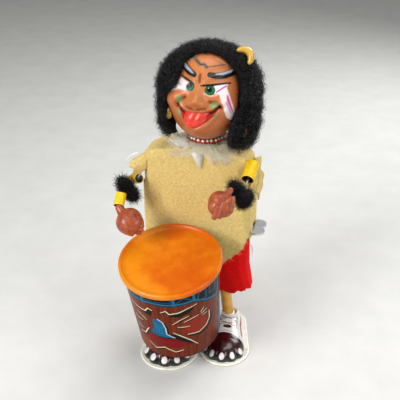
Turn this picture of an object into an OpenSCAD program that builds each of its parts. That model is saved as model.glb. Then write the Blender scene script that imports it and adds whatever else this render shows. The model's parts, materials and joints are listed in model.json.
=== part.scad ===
// Wind-up drummer doll: a tin and felt figure that beats a drum with its two hands.
// The figure looks along -Y, its left hand side is +X, and it stands on z = 0.
// Shapes are drawn about the figure's own middle; place() then centres the whole on the origin.

/* [Placement] */
// How far the figure's middle lies to the left of the origin
figure_x = 4.04; // [-10:0.01:10]
// How far the figure's middle lies behind the origin
figure_y = 21.34; // [0:0.01:30]

/* [Torso] */
// Middle of the tin torso, left to right
torso_x = -3; // [-4:0.5:-2]
// Middle of the tin torso, front to back
torso_y = 8; // [7:0.5:9]
// Width of the tin torso
torso_w = 52; // [50:1:54]
// Depth of the tin torso
torso_d = 24; // [24:0.5:26]
// Height of the plate that the torso stands on
waist_z = 56; // [54:1:58]
// Height of the torso's flat top
torso_top = 148; // [147.8:0.1:148.2]
// Sheet thickness of the tin
tin_t = 0.6; // [0.5:0.1:0.8]

/* [Clockwork] */
// Height of the winding arbor
key_z = 89; // [88:0.5:90]
// Tooth size of the first two pairs of wheels
wheel_module = 0.6; // [0.6:0.05:0.6]
// Tooth size of the governor pair
fine_module = 0.5; // [0.5:0.05:0.5]
// Teeth of the great wheel
great_teeth = 34; // [34:1:34]
// Teeth of the second wheel
second_teeth = 32; // [32:1:32]
// Teeth of the crank wheel
crank_teeth = 30; // [30:1:30]
// Leaves of each pinion
pinion_leaves = 10; // [10:1:10]
// Outer radius of the coiled mainspring
spring_r = 10.8; // [9:0.1:10.8]
// Distance between the insides of the two frame plates
frame_gap = 29.2; // [29.2:0.1:30]

/* [Arms] */
// Height of the shoulder pivot
shoulder_z = 139; // [138:0.5:140]
// Shoulder pivot, front to back
shoulder_y = 4; // [3.5:0.5:4.5]
// Total swing of each arm in degrees
arm_swing = 28; // [20:1:30]
// Radius of the arm wire
wire_r = 1; // [0.8:0.1:1.2]
// Radius of the yellow arm sleeves
sleeve_r = 3.6; // [3.2:0.1:4]

/* [Head] */
// Neck axis, left to right
neck_x = 3; // [3:0.5:3.5]
// Neck axis, front to back
neck_y = 4; // [4:0.5:4.5]
// Underside of the chin
chin_z = 169; // [168:1:170]
// Top of the painted head shell
crown_z = 221; // [219:1:221]
// Radius of the painted head shell
head_r = 25.5; // [24.5:0.5:25.5]
// Top of the hair
hair_top = 225; // [224:1:226]

/* [Drum] */
// Height of the middle of the drum's underside
drum_z = 22; // [22:0.5:24]
// Length of the drum between its ends
drum_h = 67; // [64:1:68]
// Radius at the drum's underside
drum_base_r = 29; // [28:0.5:29]
// Radius at the drum's upper end
drum_top_r = 33.1; // [32:0.1:34]
// Outer radius of the drum head's rim
rim_r = 35.2; // [34.5:0.1:35.5]
// Forward lean of the drum in degrees
drum_lean = 12.7; // [11:0.1:13]
// Sideways lean of the drum in degrees
drum_tilt = -2.1; // [-3:0.1:0]

/* [Shoes] */
// Toe radius of the right shoe
right_toe_r = 21; // [20:0.5:21]
// Toe radius of the left shoe
left_toe_r = 18.4; // [17:0.2:18.4]
// Heel radius of both shoes
heel_r = 12; // [11:0.5:13]
// Distance from toe centre to heel centre
shoe_len = 35; // [33:1:36]
// Height of a toe cap
toe_h = 14.5; // [13:0.5:15]

/* [Hidden] */
$fn = 48;

right = -1;
left = 1;
sole_t = 1.2;
plate_t = 1;
bore_slack = 0.05;
pressure_angle = 25;
right_toe = [-17, -34.5];
left_toe = [22.5, -24];
right_heel_dir = 92.5;
left_heel_dir = 92;
right_ankle = [-19, 4];
left_ankle = [22, 3];
leg_r = 4.2;
drum_at = [-9.4, -30.3, drum_z];
head_at = [5, -1];
wig_at = [5, 2];
wig_r = 35;
wig_inner_r = 29.2;
wig_bottom = 153.5;
tunic_w = 80;
tunic_d = 31;
felt_t = 1.2;

// Wheel geometry: pitch radius, and the arbors' places as [y, z]
function pitch_r(m, teeth) = m * teeth / 2;
function beside(from, dist, angle) = [from[0] + dist * cos(angle), from[1] + dist * sin(angle)];
first_pair = pitch_r(wheel_module, great_teeth) + pitch_r(wheel_module, pinion_leaves);
second_pair = pitch_r(wheel_module, second_teeth) + pitch_r(wheel_module, pinion_leaves);
third_pair = pitch_r(fine_module, crank_teeth) + pitch_r(fine_module, pinion_leaves);
governor_dir = 115;
key_arbor = [torso_y, key_z];
second_at = beside(key_arbor, first_pair, 90);
crank_at = beside(second_at, second_pair, 90);
governor_at = beside(crank_at, third_pair, governor_dir);
shoulder_at = [shoulder_y, shoulder_z];
key_shaft_r = 1.5;
arbor_r = 1;
shaft_r = 1.6;
half_gap = frame_gap / 2;

// Linkage: rocker on the shoulder shaft, rod, and crank pin
rocker_len = 7;
crank_pin_r = 0.8;
crank_throw = rocker_len * sin(arm_swing / 2);
rocker_x = 20.2;
rocker_t = 0.8;
rod_x = 18.9;
rod_t = 0.9;
disc_x = 16.2;
shaft_in_x = 13;
lever_len = 7.4;
head_turn = 20;
finger_len = lever_len * tan(head_turn / 2) / sin(arm_swing / 2);

// Arm wires: shoulder bend, elbow start, elbow end, middle of the hand
right_path = [[-43, shoulder_y, shoulder_z], [-43.5, -13, 126.5], [-47, -25, 122.5], [-41.5, -37, 110.5]];
left_path = [[37.5, shoulder_y, shoulder_z], [34.5, -16, 136], [31.5, -26, 131.5], [21, -37, 130.5]];
function path_of(side) = side == right ? right_path : left_path;
function between(a, b, t) = a + (b - a) * t;

module place() {
    translate([figure_x, figure_y, 0]) children();
}

module in_torso() {
    place() translate([torso_x, 0, 0]) children();
}

// Turns a flat [y, z] drawing to face +X and lays it at a distance x
module facing_x(x, at = [0, 0]) {
    translate([x, at[0], at[1]]) rotate([90, 0, 90]) children();
}

// A round bar between two points
module bar(a, b, r) {
    v = b - a;
    translate(a) rotate([0, acos(v[2] / norm(v)), atan2(v[1], v[0])]) cylinder(h = norm(v), r = r);
}

// A tube around a stretch of the line between two points
module sleeve(a, b, from, to, outer, inner) {
    start = between(a, b, from);
    end = between(a, b, to);
    overrun = (end - start) / norm(end - start);
    difference() {
        bar(start, end, outer);
        bar(start - overrun, end + overrun, inner);
    }
}

// A flat slab with round ends: a rectangle between two circles
module stadium(w, d) {
    for (s = [-1, 1]) translate([s * (w - d) / 2, 0]) circle(d = d);
    square([w - d, d], center = true);
}

// An oval with fuller corners than an ellipse
function full_corner(v) = sign(v) * pow(abs(v), 0.6);
module oval(w, d, sides = 60) {
    polygon([for (i = [0 : sides - 1]) let (a = i * 360 / sides)
        [w / 2 * full_corner(cos(a)), d / 2 * full_corner(sin(a))]]);
}

// ---- Gear teeth ----
function involute(phi) = tan(phi) * 180 / PI - phi;
function half_tooth(m, teeth, r, slack) = let (rp = pitch_r(m, teeth), rb = rp * cos(pressure_angle))
    90 / teeth - slack / rp * 90 / PI + involute(pressure_angle) - (r > rb ? involute(acos(rb / r)) : 0);
function tooth_radii(root, base, tip) = root < base
    ? [root, base, (base + tip) / 2, tip] : [root, (root * 2 + tip) / 3, (root + tip * 2) / 3, tip];
function polar(r, a) = [r * cos(a), r * sin(a)];

// A toothed outline with one tooth centred on the angle given
module teeth_outline(m, teeth, tip_add, root_sub, angle, slack = 0.14) {
    rp = pitch_r(m, teeth);
    radii = tooth_radii(rp - root_sub * m, rp * cos(pressure_angle), rp + tip_add * m);
    polygon([for (i = [0 : teeth - 1], k = [0 : 7])
        let (r = radii[k < 4 ? k : 7 - k], side = k < 4 ? -1 : 1)
        polar(r, angle + i * 360 / teeth + side * half_tooth(m, teeth, r, slack))]);
}

module wheel_outline(m, teeth, angle, bore) {
    rp = pitch_r(m, teeth);
    difference() {
        teeth_outline(m, teeth, 0.75, 1.3, angle);
        circle(r = bore);
        for (i = [0 : 4]) rotate(i * 72) translate([rp * 0.56, 0]) circle(r = rp * 0.19);
    }
}

module pinion_outline(m, angle) {
    teeth_outline(m, pinion_leaves, 0.9, 1.15, angle);
}

// Angle of the tooth that a driven pinion shows, half a leaf off its driver's tooth
function meshing(angle) = angle + 180 + 180 / pinion_leaves;

// ---- Shoes and legs ----
function heel_of(toe, dir) = [toe[0] + shoe_len * cos(dir), toe[1] + shoe_len * sin(dir)];

module sole(toe, toe_r, dir) {
    linear_extrude(sole_t) hull() {
        translate(toe) circle(r = toe_r, $fn = 72);
        translate(heel_of(toe, dir)) circle(r = heel_r);
    }
}

module upper_solid(toe, toe_r, dir, ankle, inset) {
    heel = heel_of(toe, dir);
    hull() {
        translate([toe[0], toe[1], sole_t]) scale([1, 1, (toe_h - sole_t - inset) / (toe_r - 2.5 - inset)])
            sphere(r = toe_r - 2.5 - inset, $fn = 32);
        translate([heel[0], heel[1], sole_t]) cylinder(r = heel_r - 2.5 - inset, h = 8 - inset, $fn = 32);
        translate([ankle[0], ankle[1], sole_t]) cylinder(r = 7 - inset, h = 14.5 - inset, $fn = 32);
    }
}

module shoe(toe, toe_r, dir, ankle, hip) {
    difference() {
        upper_solid(toe, toe_r, dir, ankle, 0);
        upper_solid(toe, toe_r, dir, ankle, 0.8);
        translate([0, 0, sole_t - 100]) cube([200, 200, 200], center = true);
        bar([ankle[0], ankle[1], sole_t], hip, leg_r + 0.3);
        bridge_bar(0.3);
    }
}

module bridge_bar(grow) {
    translate([-21 - grow, -4 - grow, sole_t]) cube([45 + 2 * grow, 9 + 2 * grow, 1.4 + grow]);
}

function hip_of(side) = [torso_x + side * 17, torso_y - 1, waist_z];

// A leg tube, shortened so that its tilted ends just meet the foot bridge and the waist plate
module leg(ankle, side) {
    foot = [ankle[0], ankle[1], sole_t + 1.4];
    hip = hip_of(side);
    axis = (hip - foot) / norm(hip - foot);
    gap = leg_r * sqrt(1 - axis[2] * axis[2]) / axis[2];
    difference() {
        bar(foot + axis * gap, hip - axis * gap, leg_r);
        bar(foot - axis, hip + axis, leg_r - tin_t);
    }
}

module right_sole() {
    color("ivory") place() sole(right_toe, right_toe_r, right_heel_dir);
}

module left_sole() {
    color("ivory") place() sole(left_toe, left_toe_r, left_heel_dir);
}

module right_shoe() {
    color("white") place() shoe(right_toe, right_toe_r, right_heel_dir, right_ankle, hip_of(right));
}

module left_shoe() {
    color("white") place() shoe(left_toe, left_toe_r, left_heel_dir, left_ankle, hip_of(left));
}

module foot_bridge() {
    color("silver") place() bridge_bar(0);
}

module right_leg() {
    color("goldenrod") place() leg(right_ankle, right);
}

module left_leg() {
    color("goldenrod") place() leg(left_ankle, left);
}

// ---- Torso ----
module torso_wall() {
    translate([0, torso_y, waist_z + plate_t]) linear_extrude(torso_top - waist_z - plate_t) difference() {
        stadium(torso_w, torso_d);
        stadium(torso_w - 2 * tin_t, torso_d - 2 * tin_t);
    }
    translate([0, torso_y, torso_top - tin_t]) linear_extrude(tin_t) stadium(torso_w, torso_d);
}

module torso_holes() {
    for (s = [-1, 1]) facing_x(s * torso_w / 2 - 6, shoulder_at) cylinder(r = 3.05, h = 12);
    facing_x(torso_w / 2 - 6, key_arbor) cylinder(r = 4, h = 12);
    translate([neck_x - torso_x, neck_y, torso_top - 5]) cylinder(r = 4.05, h = 10);
}

module torso_half(back) {
    seam = 0.05;
    difference() {
        torso_wall();
        torso_holes();
        translate([-50, back ? torso_y - 50 + seam : torso_y - seam, 0]) cube([100, 50, 200]);
    }
}

module waist_plate() {
    color("silver") in_torso() translate([0, torso_y, waist_z]) linear_extrude(plate_t) stadium(torso_w, torso_d);
}

module torso_front() {
    color("goldenrod") in_torso() torso_half(false);
}

module torso_back() {
    color("goldenrod") in_torso() torso_half(true);
}

module shoulder_bushes() {
    color("silver") in_torso() for (s = [-1, 1]) mirror([s < 0 ? 1 : 0, 0, 0]) {
        facing_x(22.5, shoulder_at) difference() {
            cylinder(r = 3, h = 4.6);
            translate([0, 0, -1]) cylinder(r = shaft_r + bore_slack, h = 8);
        }
        facing_x(26.2, shoulder_at) difference() {
            cylinder(r = 4.2, h = 1);
            translate([0, 0, -1]) cylinder(r = shaft_r + bore_slack, h = 8);
        }
    }
}

module neck_bush() {
    color("silver") place() translate([neck_x, neck_y, 0]) difference() {
        union() {
            translate([0, 0, torso_top - 2.5]) cylinder(r = 4, h = 3);
            translate([0, 0, torso_top]) cylinder(r = 6, h = 1);
        }
        translate([0, 0, torso_top - 4]) cylinder(r = 2.5 + bore_slack, h = 8);
    }
}

// ---- Clockwork frame ----
pillars = [[-1.2, 64], [17.2, 64], [17.2, 134], [-2 + 0.4, 117.5]];
frame_d = 22;

module frame_plate(x) {
    difference() {
        facing_x(x) translate([torso_y - frame_d / 2, waist_z + plate_t])
            linear_extrude(plate_t) square([frame_d, 147 - waist_z - plate_t]);
        facing_x(x - 1, key_arbor) cylinder(r = key_shaft_r + bore_slack, h = 3);
        for (p = [second_at, crank_at, governor_at]) facing_x(x - 1, p) cylinder(r = arbor_r + bore_slack, h = 3);
        facing_x(x - 1, shoulder_at) cylinder(r = shaft_r + bore_slack, h = 3);
        for (p = pillars) facing_x(x - 1, p) cylinder(r = 0.8, h = 3);
    }
}

module frame_plate_right() {
    color("silver") in_torso() frame_plate(-half_gap - plate_t);
}

module frame_plate_left() {
    color("silver") in_torso() frame_plate(half_gap);
}

module frame_pillars() {
    color("gray") in_torso() for (p = pillars) facing_x(-half_gap, p) cylinder(r = 1.5, h = frame_gap);
}

module plate_screws() {
    color("gray") in_torso() for (s = [-1, 1], p = pillars) mirror([s < 0 ? 1 : 0, 0, 0])
        facing_x(half_gap + plate_t, p) difference() {
            cylinder(r = 1.6, h = 1);
            translate([-2, -0.2, 0.5]) cube([4, 0.4, 1]);
        }
}

module mainspring() {
    turns = 7;
    band_t = 0.5;
    start_r = 2.4;
    rise = (spring_r - band_t - start_r) / turns;
    steps = 24 * turns;
    color("steelblue") in_torso() facing_x(-12.5, key_arbor) linear_extrude(8.5) polygon(concat(
        [for (i = [0 : steps]) polar(start_r + rise * i / 24, i * 15)],
        [for (i = [steps : -1 : 0]) polar(start_r + band_t + rise * i / 24, i * 15)]));
}

// ---- Wheels ----
great_x = -2.2;
second_x = 2;
crank_x = 6;

module winding_key() {
    hub_x = 33;
    bow_x = 37;
    color("silver") in_torso() {
        facing_x(hub_x, key_arbor) difference() {
            cylinder(r = 2.7, h = 6);
            translate([0, 0, -1]) cylinder(r = key_shaft_r + 0.02, h = 6);
        }
        difference() {
            translate([bow_x, torso_y, key_z - 0.8]) linear_extrude(1.6) difference() {
                union() {
                    for (s = [-1, 1]) translate([6, s * 5]) circle(r = 5.5);
                    translate([0, -3]) square([9, 6]);
                }
                translate([13.5, 0]) circle(r = 3.2);
            }
            facing_x(hub_x - 1, key_arbor) cylinder(r = key_shaft_r + 0.02, h = 6);
        }
    }
}

module winding_arbor() {
    color("gray") in_torso() facing_x(-half_gap - plate_t, key_arbor)
        cylinder(r = key_shaft_r, h = 38 + half_gap + plate_t - 0.3);
}

module great_wheel() {
    color("gold") in_torso() facing_x(great_x, key_arbor) linear_extrude(1.4)
        wheel_outline(wheel_module, great_teeth, 90, key_shaft_r + 0.02);
}

module ratchet_wheel() {
    notches = 12;
    color("gray") in_torso() facing_x(great_x - 1.4, key_arbor) linear_extrude(1.2) difference() {
        polygon([for (i = [0 : notches - 1], k = [0, 1])
            polar(k == 0 ? 5.2 : 4.1, i * 360 / notches + k * 2)]);
        circle(r = key_shaft_r + 0.02);
    }
}

module click() {
    color("silver") in_torso() facing_x(great_x - 1.4, key_arbor) linear_extrude(1.2) {
        translate([8, 2]) circle(r = 1.2);
        polygon([[7.4, 3], [8.6, 0.9], [5.7, 0.35], [4.75, 0.55]]);
    }
}

module click_spring() {
    color("steelblue") in_torso() facing_x(great_x - 1.2, key_arbor) linear_extrude(0.8) difference() {
        circle(r = 8.2);
        circle(r = 7.8);
        rotate(-66) translate([0, -20]) square([40, 40]);
        rotate(170) translate([0, -20]) square([40, 40]);
    }
}

module second_wheel() {
    color("gold") in_torso() facing_x(second_x, second_at) linear_extrude(1.2)
        wheel_outline(wheel_module, second_teeth, 90, arbor_r + 0.02);
}

// An arbor with its pinion cut in one piece, the pinion running from x1 to x2
module pinion_arbor(at, m, angle, x1, x2, half_len = half_gap + plate_t) {
    facing_x(-half_len, at) cylinder(r = arbor_r, h = 2 * half_len);
    facing_x(x1, at) linear_extrude(x2 - x1) pinion_outline(m, angle);
}

module second_arbor() {
    color("gray") in_torso() pinion_arbor(second_at, wheel_module, meshing(90), great_x - 0.4, great_x + 1.8);
}

module crank_wheel() {
    color("gold") in_torso() facing_x(crank_x, crank_at) linear_extrude(1.2)
        wheel_outline(fine_module, crank_teeth, governor_dir, arbor_r + 0.02);
}

module crank_arbor() {
    color("gray") in_torso() pinion_arbor(crank_at, wheel_module, meshing(90),
        second_x - 0.4, second_x + 1.6, disc_x + 1);
}

module crank_discs() {
    color("silver") in_torso() for (s = [-1, 1]) mirror([s < 0 ? 1 : 0, 0, 0]) {
        facing_x(disc_x, crank_at) difference() {
            cylinder(r = 4, h = 1);
            translate([0, 0, -1]) cylinder(r = arbor_r + 0.02, h = 3);
        }
        facing_x(disc_x + 1, [crank_at[0], crank_at[1] - s * crank_throw]) difference() {
            cylinder(r = crank_pin_r, h = rod_x - disc_x - 1.3);
            translate([0, s * crank_throw, -1]) cylinder(r = arbor_r + 0.1, h = 5);
        }
    }
}

module governor_arbor() {
    color("gray") in_torso() pinion_arbor(governor_at, fine_module, meshing(governor_dir),
        crank_x - 0.4, crank_x + 1.6);
}

module governor_fly() {
    color("gold") in_torso() facing_x(-2.5, governor_at) linear_extrude(5) difference() {
        union() {
            square([8, 1.2], center = true);
            circle(r = 1.9);
            for (s = [-1, 1]) translate([s * 3.2, 0]) circle(r = 0.9);
        }
        circle(r = arbor_r + 0.02);
    }
}

// ---- Arms ----
module arm_shaft(side) {
    tilt = side == right ? arm_swing / 2 : -arm_swing / 2;
    reach = abs(path_of(side)[0][0] - torso_x);
    mirror([side < 0 ? 1 : 0, 0, 0]) {
        facing_x(shaft_in_x, shoulder_at) cylinder(r = shaft_r, h = reach - shaft_in_x - 8.05);
        facing_x(rocker_x, shoulder_at) linear_extrude(rocker_t) {
            circle(r = 2.8);
            rotate(tilt) translate([0, -1.3]) square([rocker_len, 2.6]);
            rotate(tilt) translate([rocker_len, 0]) circle(r = 1.5);
        }
        facing_x(rod_x - 0.3, shoulder_at + polar(rocker_len, tilt)) cylinder(r = crank_pin_r, h = 2);
        if (side == left) translate([shaft_in_x + 0.4, shoulder_y, shoulder_z]) rotate([tilt, 0, 0])
            translate([0, 0, -finger_len - 0.8]) cylinder(r = 0.5, h = finger_len);
    }
}

module arm_path(side, r) {
    p = path_of(side);
    stops = concat([[p[0][0] - side * 7, p[0][1], p[0][2]]], p);
    for (i = [0 : 3]) hull() for (k = [i, i + 1]) translate(stops[k]) sphere(r = r, $fn = 16);
}

module upper_sleeve(side) {
    p = path_of(side);
    sleeve(p[0], p[1], 0.2, 0.92, sleeve_r, sleeve_r - tin_t);
}

module lower_sleeve(side) {
    p = path_of(side);
    sleeve(p[2], p[3], 0.02, 0.42, sleeve_r, sleeve_r - tin_t);
}

module fur_cuff(side) {
    p = path_of(side);
    difference() {
        hull() for (t = [0.35, 0.75]) translate(between(p[1], p[2], t)) sphere(r = 7.5, $fn = 28);
        arm_path(side, wire_r + 0.2);
        sleeve(p[0], p[1], 0, 1.02, sleeve_r + 0.2, 0.2);
        sleeve(p[2], p[3], -0.08, 1, sleeve_r + 0.2, 0.2);
    }
}

module hand(side) {
    p = path_of(side);
    difference() {
        hull() {
            translate(p[3]) sphere(r = 7.5, $fn = 28);
            translate(p[3] + [-side * 3, -4, -2]) sphere(r = 6, $fn = 28);
            translate(p[3] + [side * 4, -3, 1]) sphere(r = 6, $fn = 28);
        }
        arm_path(side, wire_r + 0.1);
        sleeve(p[2], p[3], 0, 0.5, sleeve_r + 0.2, 0.2);
    }
}

module rod(side) {
    tilt = side == right ? arm_swing / 2 : -arm_swing / 2;
    top = shoulder_at + polar(rocker_len, tilt);
    foot = [crank_at[0], crank_at[1] - side * crank_throw];
    span = norm(top - foot);
    mirror([side < 0 ? 1 : 0, 0, 0]) facing_x(rod_x, foot) linear_extrude(rod_t) difference() {
        rotate(atan2(top[1] - foot[1], top[0] - foot[0])) {
            translate([0, -0.8]) square([span, 1.6]);
            circle(r = 1.9);
            translate([span, 0]) circle(r = 1.9);
        }
        translate(top - foot) circle(r = crank_pin_r + bore_slack);
        circle(r = crank_pin_r + bore_slack);
    }
}

module right_arm_shaft() {
    color("gray") in_torso() arm_shaft(right);
}

module left_arm_shaft() {
    color("gray") in_torso() arm_shaft(left);
}

module right_arm_wire() {
    color("silver") place() arm_path(right, wire_r);
}

module left_arm_wire() {
    color("silver") place() arm_path(left, wire_r);
}

module right_upper_sleeve() {
    color("gold") place() upper_sleeve(right);
}

module left_upper_sleeve() {
    color("gold") place() upper_sleeve(left);
}

module right_lower_sleeve() {
    color("gold") place() lower_sleeve(right);
}

module left_lower_sleeve() {
    color("gold") place() lower_sleeve(left);
}

module right_fur_cuff() {
    color("black") place() fur_cuff(right);
}

module left_fur_cuff() {
    color("black") place() fur_cuff(left);
}

module right_hand() {
    color("sienna") place() hand(right);
}

module left_hand() {
    color("sienna") place() hand(left);
}

module right_rod() {
    color("silver") in_torso() rod(right);
}

module left_rod() {
    color("silver") in_torso() rod(left);
}

// ---- Head ----
head_mid = (chin_z + crown_z) / 2;
head_half = (crown_z - chin_z) / 2;

module head_profile(inset) {
    sides = 24;
    polygon(concat([[0, head_mid - head_half + inset]], [for (i = [1 : sides - 1])
        let (a = -90 + i * 180 / sides) [(head_r - inset) * cos(a), head_mid + (head_half - inset) * sin(a)]],
        [[0, head_mid + head_half - inset]]));
}

module head_shell() {
    neck_r = 8.5;
    color("peru") place() difference() {
        union() {
            translate([head_at[0], head_at[1], 0]) rotate_extrude() head_profile(0);
            translate([neck_x, neck_y, chin_z - 8]) cylinder(r = neck_r, h = 14);
            translate([head_at[0], head_at[1] - head_r, head_mid - 1]) sphere(r = 5.5);
            translate([head_at[0] - 2, head_at[1] - head_r + 3, head_mid - 17]) sphere(r = 4.5);
        }
        difference() {
            translate([head_at[0], head_at[1], 0]) rotate_extrude() head_profile(1.2);
            translate([neck_x, neck_y, chin_z]) cylinder(r = 6, h = 8);
        }
        translate([neck_x, neck_y, chin_z - 9]) cylinder(r = neck_r - 1.2, h = 9);
        translate([neck_x, neck_y, chin_z - 2]) cylinder(r = 2.52, h = 14);
    }
}

module neck_post() {
    color("gray") place() translate([neck_x, neck_y, 0]) {
        translate([0, 0, 132]) cylinder(r = 2.5, h = chin_z + 6 - 132);
        translate([0, 0, torso_top + 1.3]) cylinder(r = 4, h = 1.5);
    }
}

module head_lever() {
    lever_z = shoulder_z - finger_len;
    color("silver") place() translate([neck_x, neck_y, lever_z - 0.4]) linear_extrude(1) difference() {
        union() {
            circle(r = 4);
            rotate(-head_turn / 2) translate([0, -1.9]) square([8.3, 3.8]);
        }
        circle(r = 2.52);
        rotate(-head_turn / 2) translate([6.2, -0.85]) square([4, 1.7]);
    }
}

module wig_profile(r, top) {
    shoulder = top - 22;
    polygon(concat([[0, wig_bottom], [r, wig_bottom]], [for (i = [0 : 12])
        let (a = i * 90 / 12) [r * cos(a), shoulder + (top - shoulder) * sin(a)]]));
}

module wig() {
    color([0.06, 0.05, 0.05]) place() difference() {
        translate([wig_at[0], wig_at[1], 0]) rotate_extrude() wig_profile(wig_r, hair_top);
        translate([wig_at[0], wig_at[1], -0.1]) rotate_extrude() wig_profile(wig_inner_r, hair_top - 3);
        translate([wig_at[0] - 27, -60, 100]) cube([54, 54, 117]);
        translate([0, 0, wig_bottom - 10]) cube([200, 200, 20.2], center = true);
    }
}

module earring(x, y, z) {
    translate([x, y, z]) rotate([90, 0, 0]) rotate_extrude() translate([3, 0]) circle(r = 0.8, $fn = 16);
}

module right_earring() {
    color("gold") place() earring(-22.2, -6, 174.5);
}

module left_earring() {
    color("gold") place() earring(30.6, -6, 166);
}

module hair_ring() {
    color("gold") place() translate([27.5, -1.5, 219]) rotate([70, 0, 0])
        rotate_extrude() translate([5.5, 0]) circle(r = 1.1, $fn = 16);
}

// ---- Drum ----
module in_drum() {
    place() translate(drum_at) rotate([drum_lean, drum_tilt, 0]) children();
}

module drum_shell() {
    color("saddlebrown") in_drum() difference() {
        cylinder(r1 = drum_base_r, r2 = drum_top_r, h = drum_h);
        translate([0, 0, -0.001]) cylinder(r1 = drum_base_r - tin_t, r2 = drum_top_r - tin_t, h = drum_h + 0.002);
    }
}

module drum_head() {
    color("darkorange") in_drum() translate([0, 0, drum_h]) rotate_extrude() polygon([[0, -1.2], [rim_r - 4, -0.6],
        [rim_r - 3.2, 0.1], [drum_top_r, 0.1], [rim_r - 0.6, -1.6], [rim_r, -1.2], [rim_r, 1.4],
        [rim_r - 0.8, 2], [rim_r - 1.8, 1.9], [rim_r - 3, 0.9], [rim_r - 5, 0.2], [0, -0.5]]);
}

module drum_base() {
    color("saddlebrown") in_drum() translate([0, 0, 0.05]) cylinder(r = drum_base_r - tin_t - 0.05, h = 0.8);
}

module drum_bracket() {
    foot_at = [1.5, -3];
    color("silver") {
        place() difference() {
            translate([foot_at[0], foot_at[1], sole_t + 1.4]) cylinder(r = 1.8, h = 40);
            translate(drum_at) rotate([drum_lean, drum_tilt, 0]) translate([-60, -60, -0.5]) cube([120, 120, 60]);
        }
        in_drum() translate([10.5, 22, -1]) cylinder(r = 5.5, h = 1);
    }
}

// ---- Clothes ----
module tunic_front_outline(inset) {
    polygon([[13, 153 - inset], [37, 146.5 - inset], [41 - inset, 141], [41 - inset, 81], [9, 51],
        [0, 62], [-41 + inset, 81], [-41 + inset, 141], [-37, 146.5 - inset], [-13, 153 - inset]]);
}

module tunic_block(inset, drop) {
    intersection() {
        translate([0, torso_y, 40]) linear_extrude(120) oval(tunic_w - 2 * inset, tunic_d - 2 * inset);
        translate([0, 60, -drop]) rotate([90, 0, 0]) linear_extrude(120) tunic_front_outline(inset);
    }
}

module tunic() {
    color("tan") in_torso() difference() {
        tunic_block(0, 0);
        translate([0, torso_y, 30]) linear_extrude(111) oval(tunic_w - 2 * felt_t, tunic_d - 2 * felt_t);
        tunic_block(felt_t, 0);
        for (s = [-1, 1]) translate([s * 43 - 8, -16, 120]) cube([16, 34, 24]);
        facing_x(0, key_arbor) cylinder(r = 10.3, h = 60);
        translate([neck_x - torso_x, neck_y, 140]) cylinder(r = 9.6, h = 20);
    }
}

hips_z = 57;
shorts_wall = (26.4 - torso_d) / 2 - 0.2;

module shorts_leg(inset, over) {
    hull() {
        translate([4, torso_y, hips_z - 0.5]) linear_extrude(0.5) stadium(66 - 2 * inset, 26.4 - 2 * inset);
        translate([4, torso_y + 2.5, 37 - over]) linear_extrude(0.5) stadium(71 - 2 * inset, 23 - 2 * inset);
    }
}

module shorts() {
    color("crimson") in_torso() difference() {
        union() {
            translate([4, torso_y, hips_z - 0.4]) linear_extrude(22.9) stadium(66, 26.4);
            shorts_leg(0, 0);
        }
        translate([0, torso_y, hips_z - 2]) linear_extrude(30) stadium(torso_w + 0.6, torso_d + 0.6);
        translate([4, torso_y, hips_z - 2]) linear_extrude(1.6) stadium(63.6, torso_d);
        shorts_leg(shorts_wall, 0.5);
    }
}

module collar_fringe() {
    color("wheat") place() translate([neck_x, neck_y, 153.3]) rotate_extrude() difference() {
        translate([15.3, 3]) circle(r = 5.5);
        translate([0, -10]) square([40, 10]);
    }
}

module necklace() {
    color("red") place() translate([neck_x, neck_y, 162.1]) rotate_extrude()
        translate([11, 0]) circle(r = 1.4, $fn = 24);
}

right_sole();
left_sole();
right_shoe();
left_shoe();
foot_bridge();
right_leg();
left_leg();
waist_plate();
shorts();
torso_front();
torso_back();
frame_plate_right();
frame_plate_left();
frame_pillars();
plate_screws();
mainspring();
shoulder_bushes();
neck_bush();
drum_shell();
drum_head();
drum_base();
drum_bracket();
tunic();
collar_fringe();
necklace();
winding_key();
winding_arbor();
great_wheel();
ratchet_wheel();
click();
click_spring();
second_wheel();
second_arbor();
crank_wheel();
crank_arbor();
crank_discs();
governor_arbor();
governor_fly();
right_arm_shaft();
right_arm_wire();
right_upper_sleeve();
right_lower_sleeve();
right_fur_cuff();
right_hand();
right_rod();
left_arm_shaft();
left_arm_wire();
left_upper_sleeve();
left_lower_sleeve();
left_fur_cuff();
left_hand();
left_rod();
head_shell();
neck_post();
head_lever();
wig();
right_earring();
left_earring();
hair_ring();
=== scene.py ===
"""The looks of a wind-up tin drummer doll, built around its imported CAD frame."""

import json
import math

import bpy
import numpy as np
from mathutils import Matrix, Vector


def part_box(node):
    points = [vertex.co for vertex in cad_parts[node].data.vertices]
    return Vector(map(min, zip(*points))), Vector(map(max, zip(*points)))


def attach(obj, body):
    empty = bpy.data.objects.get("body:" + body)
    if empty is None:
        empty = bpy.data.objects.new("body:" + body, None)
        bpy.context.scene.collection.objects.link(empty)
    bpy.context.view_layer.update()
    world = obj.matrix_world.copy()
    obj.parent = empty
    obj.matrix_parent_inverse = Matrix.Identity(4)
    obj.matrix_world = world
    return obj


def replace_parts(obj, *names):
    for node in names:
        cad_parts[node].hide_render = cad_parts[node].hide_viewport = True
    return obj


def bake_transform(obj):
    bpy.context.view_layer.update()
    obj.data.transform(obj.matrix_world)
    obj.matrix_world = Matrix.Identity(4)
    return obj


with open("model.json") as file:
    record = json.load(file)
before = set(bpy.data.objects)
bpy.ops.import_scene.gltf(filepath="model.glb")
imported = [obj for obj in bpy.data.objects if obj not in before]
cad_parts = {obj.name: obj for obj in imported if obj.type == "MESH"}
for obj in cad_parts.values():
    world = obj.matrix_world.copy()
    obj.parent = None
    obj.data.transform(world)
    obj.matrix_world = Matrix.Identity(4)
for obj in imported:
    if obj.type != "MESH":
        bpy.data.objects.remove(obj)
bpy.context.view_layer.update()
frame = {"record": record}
MM = 0.001
RIGHT, LEFT = -1, 1

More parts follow.
